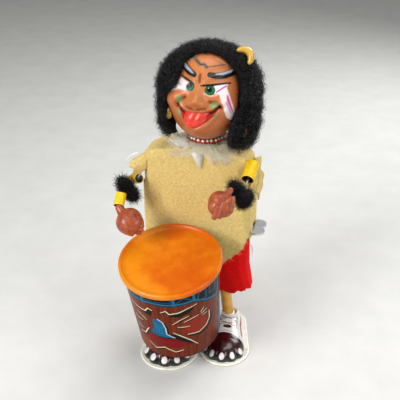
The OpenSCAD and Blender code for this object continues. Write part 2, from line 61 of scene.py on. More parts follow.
# Places are in millimetres about the doll's own middle, where its neck post stands at (3, 4).
NECK_AT = np.array([3.0, 4.0, 0.0])
neck_low, neck_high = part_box("neck_post")
ORIGIN = np.array([(neck_low.x + neck_high.x) / 2, (neck_low.y + neck_high.y) / 2, 0]) / MM - NECK_AT


def placed(points):
    """Millimetres about the doll's middle, as metres in the shared frame."""
    return (np.asarray(points, float) + ORIGIN) * MM


def linear(colour):
    """An sRGB colour as the linear values that shaders use."""
    c = np.asarray(colour, float)
    return np.where(c <= 0.04045, c / 12.92, ((c + 0.055) / 1.055) ** 2.4)


def smooth(x):
    x = np.clip(x, 0, 1)
    return x * x * (3 - 2 * x)


def unit(v):
    return v / np.maximum(np.linalg.norm(v, axis=-1, keepdims=True), 1e-9)


def bell(x, width):
    return np.exp(-((x / width) ** 2))


# ---- Meshes ----
def around(count):
    """Angles of a full turn, evenly spaced, as a row."""
    return (np.arange(count) * 2 * math.pi / count)[None, :]


def column(count, low=0.0, high=1.0):
    """Evenly spaced values, as a column."""
    return np.linspace(low, high, count)[:, None]


def xyz(*parts):
    """A grid of points from its coordinates."""
    return np.stack(np.broadcast_arrays(*parts), -1)


def spin(turn, across, third):
    """Directions that turn from across towards third."""
    return np.cos(turn)[..., None] * across + np.sin(turn)[..., None] * third


def grid_faces(rows, columns, closed=True, capped=False):
    """Quads of a grid of points, joined round its columns when closed."""
    last = columns if closed else columns - 1
    r, c = np.meshgrid(np.arange(rows - 1), np.arange(last), indexing="ij")
    a, b = r * columns + c, r * columns + (c + 1) % columns
    quads = np.stack([a, b, b + columns, a + columns], -1).reshape(-1, 4)
    if not capped:
        return quads
    ends = [list(range(columns))[::-1], list(range((rows - 1) * columns, rows * columns))]
    return quads.tolist() + ends


def joined_skins(faces, count):
    """Both skins of a sheet, with quads round every open edge."""
    edges = np.concatenate([faces[:, [k, (k + 1) % 4]] for k in range(4)]).tolist()
    used = {(a, b) for a, b in edges}
    rim = [(b, a, a + count, b + count) for a, b in edges if (b, a) not in used]
    return np.concatenate([faces, faces[:, ::-1] + count, np.array(rim)])


def unit_ball(rows, columns):
    lat, lon = column(rows, -math.pi / 2, math.pi / 2), around(columns)
    return xyz(np.cos(lat) * np.cos(lon), np.cos(lat) * np.sin(lon), np.sin(lat)).reshape(-1, 3)


def bare_object(name, points, faces):
    mesh = bpy.data.meshes.new(name)
    mesh.from_pydata(placed(points).tolist(), [], faces if isinstance(faces, list) else faces.tolist())
    obj = bpy.data.objects.new(name, mesh)
    bpy.context.scene.collection.objects.link(obj)
    return obj


def dressed(obj, body, material):
    """Gives a piece its material and its CAD body; body is None for one that rides on no body."""
    obj.data.polygons.foreach_set("use_smooth", [True] * len(obj.data.polygons))
    obj.data.materials.clear()
    obj.data.materials.append(material)
    if body:
        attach(obj, body)
    return obj


def new_piece(name, points, body, material, faces=None, paint=None):
    """A mesh piece from points in millimetres: a grid closed round its columns, unless faces say more."""
    if faces is None:
        faces = grid_faces(*points.shape[:2])
    obj = bare_object(name, points.reshape(-1, 3), faces)
    if paint is not None:
        layer = obj.data.color_attributes.new("paint", "FLOAT_COLOR", "POINT")
        layer.data.foreach_set("color", np.c_[linear(paint), np.ones(len(paint))].ravel())
    return dressed(obj, body, material)


def strands(name, paths, radius, body, material, sides=3, tip=0.3):
    """Hairs as thin tapered tubes; paths holds each hair's points."""
    count, steps = paths.shape[:2]
    along = unit(np.gradient(paths, axis=1))
    helper = np.where(np.abs(along[..., 2:3]) < 0.9, [0, 0, 1], [1, 0, 0])
    across = unit(np.cross(along, helper))
    third = np.cross(along, across)
    width = np.asarray(radius).reshape(-1, 1) * np.linspace(1, tip, steps)
    ring = spin(around(sides)[0], across[:, :, None], third[:, :, None])
    points = paths[:, :, None] + ring * width[..., None, None]
    size = steps * sides
    offsets = (np.arange(count) * size)[:, None, None]
    faces = (grid_faces(steps, sides)[None] + offsets).reshape(-1, 4).tolist()
    for end in (np.arange(sides)[::-1], np.arange(size - sides, size)):
        faces += (end[None] + offsets[:, 0]).tolist()
    return new_piece(name, points, body, material, faces)


def fused(name, blobs, voxel, relax, body, material):
    """One smooth skin around overlapping balls; blobs holds (middle, radius) in millimetres."""
    ball = unit_ball(17, 24)
    points = np.concatenate([np.asarray(middle) + ball * radius for middle, radius in blobs])
    faces = np.concatenate([grid_faces(17, 24) + i * len(ball) for i in range(len(blobs))])
    obj = bare_object(name, points, faces)
    remesh = obj.modifiers.new("skin", "REMESH")
    remesh.mode = "VOXEL"
    remesh.voxel_size = voxel * MM
    softened = obj.modifiers.new("soften", "SMOOTH")
    softened.factor = 0.5
    softened.iterations = relax
    done = bpy.data.meshes.new_from_object(obj.evaluated_get(bpy.context.evaluated_depsgraph_get()))
    obj.modifiers.clear()
    obj.data = done
    return dressed(obj, body, material)


def capsule(a, b, r1, r2, steps=5):
    """Balls along a line, as fused() takes them."""
    a, b = np.asarray(a, float), np.asarray(b, float)
    return [(a + (b - a) * t, r1 + (r2 - r1) * t) for t in np.linspace(0, 1, steps)]


# ---- Paint ----
class Paint:
    """Colours laid on a surface's points, which have flat coordinates u and v."""

    def __init__(self, u, v, base, scale=(1, 1)):
        self.u, self.v = u.ravel(), v.ravel()
        self.scale = scale
        self.colour = np.tile(np.asarray(base, float), (len(self.u), 1))

    def lay(self, mask, colour):
        self.colour += (np.asarray(colour) - self.colour) * np.clip(mask, 0, 1)[:, None]

    def near(self, points):
        """Distance to a line through the points, and the share of the way along it."""
        points = np.asarray(points, float) * self.scale
        p = np.stack([self.u, self.v], -1)
        best = np.full(len(p), 1e9)
        share = np.zeros(len(p))
        for i, (a, b) in enumerate(zip(points[:-1], points[1:])):
            d = b - a
            t = np.clip(((p - a) @ d) / max(d @ d, 1e-9), 0, 1)
            gap = np.linalg.norm(p - a - t[:, None] * d, axis=1)
            share = np.where(gap < best, (i + t) / (len(points) - 1), share)
            best = np.minimum(best, gap)
        return best, share

    def stroke(self, points, width, colour, soft=0.35, strength=1.0, taper=0.0):
        gap, share = self.near(points)
        half = width / 2 * (1 - taper * np.abs(share * 2 - 1) ** 2)
        self.lay(smooth((half - gap) / soft + 0.5) * strength, colour)

    def spot(self, u, v, ru, rv, colour, soft=0.3, strength=1.0):
        gap = (np.hypot((self.u - u) / ru, (self.v - v) / rv) - 1) * min(ru, rv)
        self.lay(smooth(0.5 - gap / soft) * strength, colour)

    def patch(self, corners, colour, soft=0.4, strength=1.0):
        gap = self.near([*corners, corners[0]])[0]
        corners = np.asarray(corners, float) * self.scale
        inside = np.zeros(len(self.u), bool)
        for a, b in zip(corners, np.roll(corners, -1, axis=0)):
            crosses = (a[1] > self.v) != (b[1] > self.v)
            at = a[0] + (self.v - a[1]) * (b[0] - a[0]) / (b[1] - a[1] if b[1] != a[1] else 1e-9)
            inside ^= crosses & (self.u < at)
        self.lay(smooth(np.where(inside, gap, -gap) / soft + 0.5) * strength, colour)

    def all(self, kind, *rows):
        """Many strokes, spots or patches; each row holds what one of them takes."""
        for row in rows:
            kind(*row)


# ---- Materials ----
class Shader:
    """A node material whose colour comes from tones mixed by noise, or from paint on the mesh."""

    def __init__(self, name, tones, grain=3.0, painted=False, stretch=(1, 1, 1), contrast=0.25):
        self.material = bpy.data.materials.new(name)
        self.material.use_nodes = True
        self.tree = self.material.node_tree
        self.bsdf = self.tree.nodes["Principled BSDF"]
        self.place = self.node("ShaderNodeTexCoord").outputs["Object"]
        self.stretched = self.node("ShaderNodeMapping", Vector=self.place, Scale=stretch).outputs["Vector"]
        self.mixed = self.ramp(self.noise(grain, 6), tones, 0.5 - contrast, 0.5 + contrast)
        if painted:
            paint = self.node("ShaderNodeAttribute")
            paint.attribute_name = "paint"
            mix = self.node("ShaderNodeMix")
            mix.data_type, mix.blend_type = "RGBA", "MULTIPLY"
            # The colour mix has its factor at input 0, its two colours at 6 and 7 and its result at output 2
            mix.inputs[0].default_value = 1.0
            self.tree.links.new(paint.outputs["Color"], mix.inputs[6])
            self.tree.links.new(self.mixed, mix.inputs[7])
            self.mixed = mix.outputs[2]
        self.link(self.mixed, "Base Color")

    def node(self, kind, **inputs):
        made = self.tree.nodes.new(kind)
        for name, value in inputs.items():
            socket = made.inputs[name.replace("_", " ")]
            if isinstance(value, bpy.types.NodeSocket):
                self.tree.links.new(value, socket)
            else:
                socket.default_value = value
        return made

    def link(self, output, socket):
        self.tree.links.new(output, self.bsdf.inputs[socket])

    def noise(self, size_mm, detail=3.0):
        return self.node("ShaderNodeTexNoise", Vector=self.stretched, Scale=1 / (size_mm * MM),
                         Detail=detail, Roughness=0.6).outputs["Fac"]

    def ramp(self, value, tones, low, high):
        ramp = self.node("ShaderNodeValToRGB", Fac=value)
        stops = ramp.color_ramp.elements
        while len(stops) < len(tones):
            stops.new(0.5)
        for i, tone in enumerate(tones):
            stops[i].position = low + (high - low) * i / max(len(tones) - 1, 1)
            stops[i].color = (*linear(tone), 1)
        return ramp.outputs["Color"]

    def gloss(self, low, high, size_mm=2.0):
        spread = self.node("ShaderNodeMapRange", Value=self.noise(size_mm))
        spread.inputs["To Min"].default_value = low
        spread.inputs["To Max"].default_value = high
        self.link(spread.outputs["Result"], "Roughness")
        return self

    def bump(self, height, depth_mm):
        made = self.node("ShaderNodeBump", Height=height, Distance=depth_mm * MM, Strength=1)
        if self.bsdf.inputs["Normal"].is_linked:
            self.tree.links.new(self.bsdf.inputs["Normal"].links[0].from_socket, made.inputs["Normal"])
        self.link(made.outputs["Normal"], "Normal")
        return self

    def set(self, **values):
        for name, value in values.items():
            self.bsdf.inputs[name.replace("_", " ")].default_value = value
        return self

    def weave(self, pitch_mm, depth_mm):
        """Crossed threads, warp up and down and weft around."""
        waves = [self.node("ShaderNodeTexWave", Vector=self.place, Scale=0.314 / (pitch_mm * MM),
                           Distortion=2.5, Detail=2) for _ in range(2)]
        both = self.node("ShaderNodeMath")
        both.operation = "ADD"
        for wave, axis, height in zip(waves, "XZ", both.inputs):
            wave.bands_direction = axis
            self.tree.links.new(wave.outputs["Fac"], height)
        return self.bump(both.outputs[0], depth_mm)


def metal(name, tones, rough, grain=1.5, stretch=(1, 1, 1)):
    made = Shader(name, tones, grain, stretch=stretch).gloss(rough - 0.08, rough + 0.1, 0.8)
    made.bump(made.noise(0.5), 0.02)
    return made.set(Metallic=1).material


def enamel(name, tones, rough=0.22, grain=4.0, painted=False, coat=0.6, shine=0.5, contrast=0.25):
    made = Shader(name, tones, grain, painted=painted, contrast=contrast).gloss(rough - 0.06, rough + 0.1, 3)
    made.bump(made.noise(2.5), 0.03)
    return made.set(Coat_Weight=coat, Coat_Roughness=0.12, Specular_IOR_Level=shine).material


def cloth(name, tones, pitch, sheen, grain=2.2):
    made = Shader(name, tones, grain).gloss(0.82, 0.98, 1)
    made.weave(pitch, 0.12)
    made.bump(made.noise(0.35, 4), 0.18)
    return made.set(Sheen_Weight=sheen, Sheen_Roughness=0.5, Specular_IOR_Level=0.2).material


def hair(name, tones, rough, sheen=0.0):
    made = Shader(name, tones, 1.4).gloss(rough - 0.08, rough + 0.12, 1)
    made.bump(made.noise(0.4), 0.05)
    return made.set(Sheen_Weight=sheen, Specular_IOR_Level=0.35).material


PALE = [(0.93, 0.93, 0.93), (1, 1, 1)]
STEEL = metal("bright_steel", [(0.62, 0.62, 0.64), (0.8, 0.8, 0.8)], 0.32)
KEY_STEEL = metal("key_steel", [(0.72, 0.73, 0.75), (0.9, 0.9, 0.91)], 0.34, 0.6, (1, 6, 1))
SPRING = metal("spring_steel", [(0.2, 0.24, 0.36), (0.38, 0.42, 0.52)], 0.3)
BRASS = metal("cut_brass", [(0.72, 0.55, 0.24), (0.86, 0.7, 0.38)], 0.3)
SOLE = enamel("cream_sole", [(0.88, 0.86, 0.76), (0.97, 0.96, 0.9), (1, 0.99, 0.95)], 0.24, coat=0.3)
SHOE = enamel("printed_shoe", PALE, 0.2, 5, painted=True, coat=0.5)
YELLOW_TIN = enamel("tan_tin", [(0.8, 0.55, 0.14), (0.92, 0.7, 0.26)], 0.28, coat=0.3)
LITHO = enamel("drum_print", PALE, 0.3, 2, painted=True, coat=0, shine=0.1)
SKIN = enamel("painted_skin", [(0.92, 0.9, 0.88), (1, 1, 1)], 0.3, 6, painted=True, coat=0, shine=0.3)
FIST = enamel("fist_skin", [(0.46, 0.19, 0.1), (0.6, 0.28, 0.16), (0.74, 0.38, 0.2)], 0.34, 5,
              coat=0.1, shine=0.4)
TONGUE = enamel("tongue_enamel", [(0.74, 0.1, 0.08), (0.92, 0.28, 0.2)], 0.3, 2.2, coat=0.1, shine=0.45)
RED_FELT = cloth("red_felt", [(0.84, 0, 0), (0.98, 0, 0.01)], 0.55, 0)
TAN_FELT = cloth("tan_flannel", [(0.8, 0.68, 0.4), (0.88, 0.77, 0.48), (0.94, 0.85, 0.56)], 0.6, 0.08, 1.5)
TAN_THREAD = hair("tan_thread", [(0.84, 0.73, 0.44), (0.98, 0.92, 0.68)], 0.8, 0.1)
CREAM_THREAD = hair("cream_mohair", [(0.96, 0.92, 0.76), (1, 0.99, 0.93)], 0.5, 0.5)
WHITE_THREAD = hair("white_thread", [(0.97, 0.97, 0.92), (1, 1, 0.99)], 0.5, 0.6)
# Black mohair for curls and fur; its lightest tone, mixed in by noise, stands in for painted glints
BLACK_CURL_AND_GLINTS = hair("black_mohair_and_glints", [(0.008, 0.008, 0.009), (0.03, 0.03, 0.032), (0.26, 0.25, 0.26)], 0.26)
BLACK_MAT = hair("black_backing", [(0.006, 0.006, 0.006), (0.018, 0.017, 0.018)], 0.85)
BEAD = enamel("white_bead", [(0.86, 0.84, 0.8), (0.97, 0.96, 0.93)], 0.18)
RED_CORD = hair("red_cord", [(0.66, 0.05, 0.03), (0.86, 0.14, 0.08)], 0.6)
RING = enamel("yellow_ring", [(0.7, 0.52, 0.1), (0.86, 0.7, 0.26)], 0.35)
LINING = enamel("maroon_lining", [(0.18, 0.04, 0.03), (0.3, 0.08, 0.06)], 0.35)
RED_FUZZ = hair("red_fuzz", [(0.76, 0, 0.01), (0.94, 0.03, 0.03)], 0.85, 0.1)
PINK_THREAD = hair("pink_thread", [(0.8, 0.5, 0.5), (0.95, 0.75, 0.74)], 0.6, 0.2)
SLEEVE_PAINT = enamel("yellow_tube", [(0.86, 0.68, 0.02), (0.96, 0.82, 0.12)], 0.25, painted=True,
                      coat=0.15, shine=0.35)
# Orange drum head; its large lighter yellow patches are painted highlights
DRUM_ORANGE_AND_HIGHLIGHTS = enamel("drum_orange", [(0.77, 0.31, 0), (0.82, 0.39, 0), (0.88, 0.52, 0.06)], 0.32, 45,
                     coat=0.06, shine=0.2, contrast=0.13)


# ---- Camera, light and floor ----
def point_at(obj, target):
    obj.rotation_mode = "QUATERNION"
    obj.rotation_quaternion = (Vector(target) - obj.location).to_track_quat("-Z", "Y")


def make_stage():
    scene = bpy.context.scene
    scene.view_settings.view_transform = "Standard"
    target = Vector(placed([-1, 0, 111]))
    azimuth, elevation, distance = math.radians(12), math.radians(28), 0.53
    back = Vector((math.sin(azimuth) * math.cos(elevation), -math.cos(azimuth) * math.cos(elevation),
                   math.sin(elevation)))
    camera = bpy.data.objects.new("camera", bpy.data.cameras.new("camera"))
    scene.collection.objects.link(camera)
    camera.data.sensor_width, camera.data.lens = 36, 67.5
    camera.data.clip_start, camera.data.clip_end = 0.01, 20
    camera.location = target + back * distance
    point_at(camera, target)
    scene.camera = camera
    # Name, place and size in metres, and power in watts
    lamps = [("key", (-0.45, -0.6, 0.52), 0.35, 6.7), ("fill", (0.6, -0.3, 0.45), 0.5, 2.7),
             ("top", (0.1, 0.1, 0.95), 0.6, 3.6), ("rim", (0.3, 0.6, 0.5), 0.4, 3)]
    for name, at, size, power in lamps:
        light = bpy.data.lights.new(name, "AREA")
        light.size, light.energy = size, power
        lamp = bpy.data.objects.new(name, light)
        scene.collection.objects.link(lamp)
        lamp.location = at
        point_at(lamp, (0, 0, 0.1))
    world = bpy.data.worlds.new("studio")
    world.use_nodes = True
    sky = world.node_tree.nodes["Background"].inputs
    sky["Color"].default_value, sky["Strength"].default_value = (0.9, 0.89, 0.87, 1), 0.24
    scene.world = world
    floor_material = Shader("floor_card", [(0.8, 0.8, 0.79), (0.84, 0.84, 0.83)], 30).gloss(0.7, 0.85)
    mesh = bpy.data.meshes.new("floor")
    mesh.from_pydata([(-4, -4, 0), (4, -4, 0), (4, 4, 0), (-4, 4, 0)], [], [(0, 1, 2, 3)])
    mesh.materials.append(floor_material.material)
    floor = bpy.data.objects.new("floor", mesh)
    scene.collection.objects.link(floor)
    floor.location.z = -0.0002


make_stage()


# ---- Head ----
# The face looks along -Y and leans back; across, up and out are its own directions.
FACE_TILT = math.radians(24)
HEAD_MID = np.array([4, -1, 195])
ACROSS = np.array([1, 0, 0])
UP = np.array([0, math.sin(FACE_TILT), math.cos(FACE_TILT)])
OUT = np.array([0, -math.cos(FACE_TILT), math.sin(FACE_TILT)])
BROWN, SHADE, BLUSH = (0.76, 0.47, 0.27), (0.57, 0.28, 0.14), (0.78, 0.42, 0.25)
BLACK, WHITE, GREEN, MINT = (0.05, 0.045, 0.05), (0.93, 0.91, 0.93), (0.05, 0.45, 0.25), (0.42, 0.66, 0.44)
MAGENTA, GREY, MOUTH_RED = (0.75, 0.2, 0.45), (0.62, 0.64, 0.68), (0.62, 0.1, 0.06)
UPPER_LIP = [(-14, -12.5), (-12, -15.5), (-8.5, -17.6), (-2.5, -18.6), (3.5, -18.2), (9, -16.2), (13, -12.5)]
SMILE_LINES = [(-9.5, -8.5), (-12.5, -10.5), (-14.5, -14)], [(7, -10.5), (10.5, -10.5), (14, -13.5)]
# Bumps and hollows: place across and up, radius across and up, height
BUMPS = [(-1.6, -12, 3.6, 3.2, 2.2), (-6, -12.6, 2.6, 2.3, 3), (3.4, -13, 2.6, 2.3, 3),
         (-4, -15.4, 1.3, 1, -1.2), (0.9, -15.6, 1.3, 1, -1.2), (-17.5, -9, 6, 6.5, 4.2),
         (15.5, -10.5, 6, 6.5, 3.6), (-6.2, -1.8, 4.2, 3.2, 0.5), (6.6, -2.6, 4.2, 3.2, 0.5),
         (0, 15, 13, 7, 0.8), (-1, -30, 7, 4.5, 2.6), (-1, -22.8, 8, 2.2, -0.8)]
# Ridges and grooves: line, width, height
RIDGES = [([(-14, 13.5), (-8, 7), (-3, 3.5)], 2.2, 1.3), ([(18, 11), (11, 6), (3, 3.2)], 2.2, 1.3),
          ([(-0.8, 7), (-0.6, 1)], 0.8, -1.1), ([(-3.4, 4.5), (-1.8, 0.5)], 0.7, -0.7),
          ([(2.2, 4.5), (0.9, 0.5)], 0.7, -0.6), (SMILE_LINES[0], 1.1, -2.2), (SMILE_LINES[1], 1.1, -2),
          ([(p, q + 1.5) for p, q in UPPER_LIP], 1.5, 1.2), (UPPER_LIP, 0.9, -2.4),
          ([(-12, -19), (-9, -25.5), (-2, -28.5), (5, -25), (11, -18)], 1.4, 1)]


def head_point(u, v, w):
    return HEAD_MID + u[..., None] * ACROSS + v[..., None] * UP + w[..., None] * OUT


def face_relief(u, v):
    """How far the face stands out of the plain head, in millimetres."""
    along = np.clip((3 - v) / 14, 0, 1)
    bridge = 5.2 * along**1.3 * bell(u + 0.2 + 1.3 * along, 2.2 + 1.6 * along)
    relief = bridge * smooth((v + 15.5) / 4) * smooth((7 - v) / 5)
    for cu, cv, ru, rv, height in BUMPS:
        relief = relief + height * bell(u - cu, ru) * bell(v - cv, rv)
    flat = Paint(u, v, BROWN)
    for points, width, height in RIDGES:
        relief = relief + height * bell(flat.near(points)[0].reshape(u.shape), width)
    return relief


def paint_face(u, v, w):
    p = Paint(u, v, BROWN)
    edge = np.clip(np.hypot(p.u / 24, (p.v + 4) / 30), 0, 1)
    p.lay(edge**4 * 0.75, SHADE)
    # Blush on both cheeks, and a lighter patch on the forehead that is a painted highlight
    p.all(p.spot, (-16, -10, 7, 5.6, BLUSH, 9, 0.6), (14, -11, 7, 5.6, BLUSH, 9, 0.6),
          (0, 14, 8, 6.4, (0.84, 0.52, 0.3), 9, 0.6))
    # Painted shade: soft dark strokes along the smile lines, the groove down the nose and under the nose
    for line in (*SMILE_LINES, [(-0.7, 6), (-0.6, 1)], [(-7.6, -14.5), (-3, -16.3), (4.6, -15)]):
        p.stroke(line, 1.2, (0.42, 0.16, 0.07), 1.6, 0.75)
    # Whites at the temples, with magenta strokes over the left one
    p.all(p.patch,
          ([(-13, 4.2), (-10.5, 2.3), (-6.5, 0.2), (-7.6, -1.5), (-9.3, -4.6), (-14, -3.6), (-20, -5),
            (-27, -10), (-27, -2), (-19, 0.6), (-16, 3.5)], WHITE, 1.6, 0.92),
          ([(8.5, 0), (16.5, 2.2), (15.5, -3), (12.5, -5.5), (8, -5)], WHITE, 0.8))
    p.all(p.stroke, ([(13.2, -1), (15.5, -6), (17.8, -11.5), (19, -17)], 5.6, WHITE, 0.9, 0.93),
          ([(10.5, -4), (15.5, 0.5)], 0.9, MAGENTA, 0.7, 0.85),
          ([(17, -5.5), (18.2, -9), (20.2, -14.5)], 1.3, MAGENTA, 0.8, 0.85, 0.5),
          ([(16.8, -9.5), (19.4, -15.6)], 0.6, MAGENTA, 0.6, 0.6))
    p.patch([(-9, 0.6), (-4.6, -0.6), (-3.4, -3.4), (-5.5, -5), (-8.6, -4.4)], WHITE, 0.9, 0.8)
    p.stroke([(3.2, -5.6), (7, -6.8), (11, -6)], 0.8, WHITE, 1, 0.7)
    # Each eye: a dark rim, a green iris, a black pupil and a small white dot that is a painted glint
    for cu, cv, r in [(-6.2, -2, 2.75), (6.5, -3.2, 3.1)]:
        p.all(p.spot, (cu, cv, r, r, (0.02, 0.2, 0.1), 0.5), (cu, cv, r - 0.55, r - 0.55, GREEN, 0.7),
              (cu - 0.3, cv + 0.3, 1.6, 1.7, BLACK, 0.4), (cu - 1, cv + 1.2, 0.3, 0.3, WHITE, 0.25))
    for place in [(-13, -10.2, 1.9, 2.6), (9.8, -12, 2.5, 2.1), (9.4, -17.8, 2.2, 2), (-13.4, -18, 1.3, 2)]:
        p.spot(*place, MINT, 1.6, 0.75)
    p.spot(9.6, -17.6, 1.5, 1.3, (0.22, 0.46, 0.24), 1.2, 0.7)
    # Lids, brows, the smeared forehead line and painted highlights above the brows
    brows = [([(-13.6, 14.5), (-11, 10.5), (-8, 7.8), (-4.6, 5.8)],
              [(-13.3, 14.2), (-10.4, 10.6), (-5.6, 6.8)]),
             ([(5.4, 6.4), (9, 6), (13.5, 7), (17.2, 9.4), (19.3, 12.6), (18.8, 15)],
              [(9, 7), (13.2, 7.9), (16.6, 10), (18, 12)])]
    p.all(p.stroke, ([(-13.2, 5), (-8.5, 2.5), (-4, 0)], 1.35, BLACK, 0.4, 1, 0.35),
          ([(0.6, -0.9), (7.5, 0.1), (17.5, 2.7)], 1.4, BLACK, 0.4, 1, 0.35))
    for brow, inner in brows:
        p.all(p.stroke, (brow, 4.3, BLACK, 0.5, 1, 0.2), (inner, 1.9, GREY, 0.6, 1, 0.5))
    # Pinkish-white strokes above both brows are painted highlights
    painted_highlight = (0.95, 0.78, 0.68)
    p.all(p.stroke,
          ([(-8.5, 19.5), (-5.6, 16), (-2, 12.6), (0.6, 12.9), (2.6, 11)], 2.1, (0.4, 0.38, 0.37), 2, 0.9),
          ([(-5, 15.4), (-1.2, 12.4), (0.8, 12.9), (3, 11)], 0.7, (0.2, 0.18, 0.18), 0.5, 0.9),
          ([(-11.5, 14), (-8.5, 16.5), (-5.5, 18.6)], 1.2, painted_highlight, 1.5, 0.6, 0.6),
          ([(7, 17.6), (11, 16.2), (14.5, 13.4)], 1.2, painted_highlight, 1.5, 0.6, 0.6),
          ([(3, 11.2), (8, 12.4), (13.2, 14.2)], 0.8, (0.3, 0.26, 0.24), 0.5, 0.9, 0.4))
    # Mouth
    p.patch([*UPPER_LIP, (10, -18.5), (6, -22), (-1, -26.5), (-7, -26), (-10.5, -21.5)], MOUTH_RED, 0.8)
    p.stroke(UPPER_LIP, 1.1, (0.3, 0.07, 0.05), 0.7)
    p.lay((w.ravel() < -2) * 1, SHADE)
    return p.colour


def make_head():
    lat, lon = column(210, -math.pi / 2, math.pi / 2), around(420)
    u, w = 24.2 * np.cos(lat) * np.sin(lon), 24.5 * np.cos(lat) * np.cos(lon)
    v = -5.5 + np.where(lat < 0, 28, 31) * np.sin(lat) + 0 * lon
    relief = face_relief(u, v) * smooth(w / 14)
    sideways = unit(xyz(u, v + 5.5, w) * [1, 0.5, 1])
    outward = unit(sideways * [0.6, 0.2, 1])
    u, v, w = (xyz(u, v, w) + outward * relief[..., None]).transpose(2, 0, 1)
    head = new_piece("face_and_head", head_point(u, v, w), "head", SKIN,
                     paint=paint_face(u, v, w))
    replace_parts(head, "head_shell")


def make_neck():
    """The moulding's short neck, which runs down into the collar."""
    z, turn = column(14, 160.5, 176), around(48)
    r = 8.5 + 2.5 * np.clip((z - 166) / 10, 0, 1) ** 2 + 0.5 * np.clip((162 - z) / 1.5, 0, 1)
    points = xyz(3 + r * np.cos(turn), 4 + r * np.sin(turn), z)
    new_piece("neck_skirt", points, "head", SKIN,
              paint=np.tile(BROWN, (z.size * turn.size, 1)))


def make_tongue():
    """A pointed tongue that hangs out of the smile, thick in the middle and with a groove down it."""
    s, turn = column(40), around(48)
    top, tip = -16.6, -27.6
    half = 8.5 * (1 - 0.14 * s) * np.sqrt(np.clip(1 - s**2.3, 0, 1)) + 0.02
    thick = 2.5 * np.sqrt(np.clip(1 - s**3, 0, 1)) + 0.02
    groove = 0.8 * bell(np.cos(turn), 0.16) * (np.sin(turn) > 0) * (1 - s**2)
    cheek = 1.9 * np.cos(turn) ** 2 * (1 - s)
    u = -0.8 - 3.4 * s + half * np.cos(turn)
    v = top + (tip - top) * s - 1.2 * (1 - s) * (1 - np.abs(np.cos(turn)) ** 2)
    w = 19.6 - 2.2 * s + np.sin(math.pi * s) + (thick * np.sin(turn) - groove) - cheek
    new_piece("tongue", head_point(u, v, w), "head", TONGUE)


make_head()
make_neck()
make_tongue()


# ---- Hair ----
HAIR_MID = np.array([5, 2, 0])
# The edges of the face opening, by height up the face and place across it
HAIRLINE = [(-33, -21), (-18, -24), (-10, -26), (-4, -19.5), (3, -17), (10, -15.5), (14, -14), (18, -10.5),
            (20.5, -5), (21.5, 2)]
HAIRLINE_LEFT = [(-33, 20), (-18, 22.5), (-12, 25.5), (-4, 27.5), (3, 27.5), (11, 24), (16, 19), (20, 12),
                 (21.5, 3)]


def in_face_opening(points, grow=0.0):
    """True in front of the face, inside the hairline."""
    u, v, w = ((points - HEAD_MID) @ axis for axis in (ACROSS, UP, OUT))
    low = np.interp(v, *np.array(HAIRLINE).T) - grow
    high = np.interp(v, *np.array(HAIRLINE_LEFT).T) + grow
    return (w > 0) & (v < 21.5 + grow) & (u > low) & (u < high)


def hair_surface(turn, z):
    """The mass of the wig under its curls: round, longer on the key's side, with soft lumps."""
    bottom = 162.5 - 4.5 * np.cos(turn) - 3 * np.sin(turn)
    z = bottom + (221.5 - bottom) * z
    dome = np.sqrt(np.clip(1 - np.clip((z - 193) / 28.6, 0, 1) ** 2.2, 0, 1))
    tuck = 1 - 0.13 * np.clip((174 - z) / 16, 0, 1) ** 1.5
    lumps = 0.9 * np.sin(7 * turn + z / 4) * np.sin(z / 3.2 + 3 * turn) + 0.6 * np.sin(13 * turn - z / 2.3)
    r = (31.6 * tuck + lumps) * dome
    return xyz(HAIR_MID[0] + r * np.cos(turn), HAIR_MID[1] + r * np.sin(turn), z)


def make_wig():
    rows, columns = 120, 300
    z = column(rows)
    outer = hair_surface(around(columns), z)
    inner = (outer - HAIR_MID) * [0.8, 0.8, 1] + HAIR_MID - [0, 0, 3] * z[..., None]
    faces = grid_faces(rows, columns)
    kept = faces[~in_face_opening(outer).ravel()[faces].any(axis=1)]
    wig = new_piece("wig_backing", np.stack([outer, inner]), "head", BLACK_MAT,
                    joined_skins(kept, rows * columns))
    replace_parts(wig, "wig")
    return outer


def curls(rng, roots, normals, droop, height, loop, turns, spread=1.0, steps=9):
    """Curly hairs: each rises from its root and wanders along the surface in a loose coil."""
    n = len(roots)
    t = np.linspace(0, 1, steps)[None, :, None]
    side = unit(np.cross(normals, rng.normal(size=(n, 3))))
    along = unit(side * spread + np.array([0, 0, -droop]) * rng.uniform(0.3, 1, (n, 1)))
    along = unit(along - normals * (along * normals).sum(1, keepdims=True) * 0.7)
    length, rise = rng.uniform(2.5, 6, (n, 1, 1)), rng.uniform(*height, (n, 1, 1))
    radius = rng.uniform(*loop, (n, 1, 1))
    angle = rng.uniform(0, 6.28, (n, 1, 1)) + t * 2 * math.pi * rng.uniform(*turns, (n, 1, 1))
    up, along = normals[:, None], along[:, None]
    across = unit(np.cross(up, along))
    path = roots[:, None] - up * 0.8 + up * rise * t + along * length * t
    return path + radius * (np.cos(angle) * across + np.sin(angle) * up) * np.minimum(1, t * 3)


def sample_surface(rng, surface, count, allowed=1):
    """Random points on the allowed part of a closed grid of points, with their outward normals."""
    base = surface[:-1]
    right = np.roll(surface, -1, axis=1)[:-1]
    above = surface[1:]
    cross = np.cross(right - base, above - base)
    weight = np.linalg.norm(cross, axis=-1) * allowed
    picks = rng.choice(weight.size, count, p=(weight / weight.sum()).ravel())
    at = np.unravel_index(picks, weight.shape)
    s, t = rng.uniform(size=(2, count, 1))
    return base[at] + (right[at] - base[at]) * s + (above[at] - base[at]) * t, unit(cross[at])


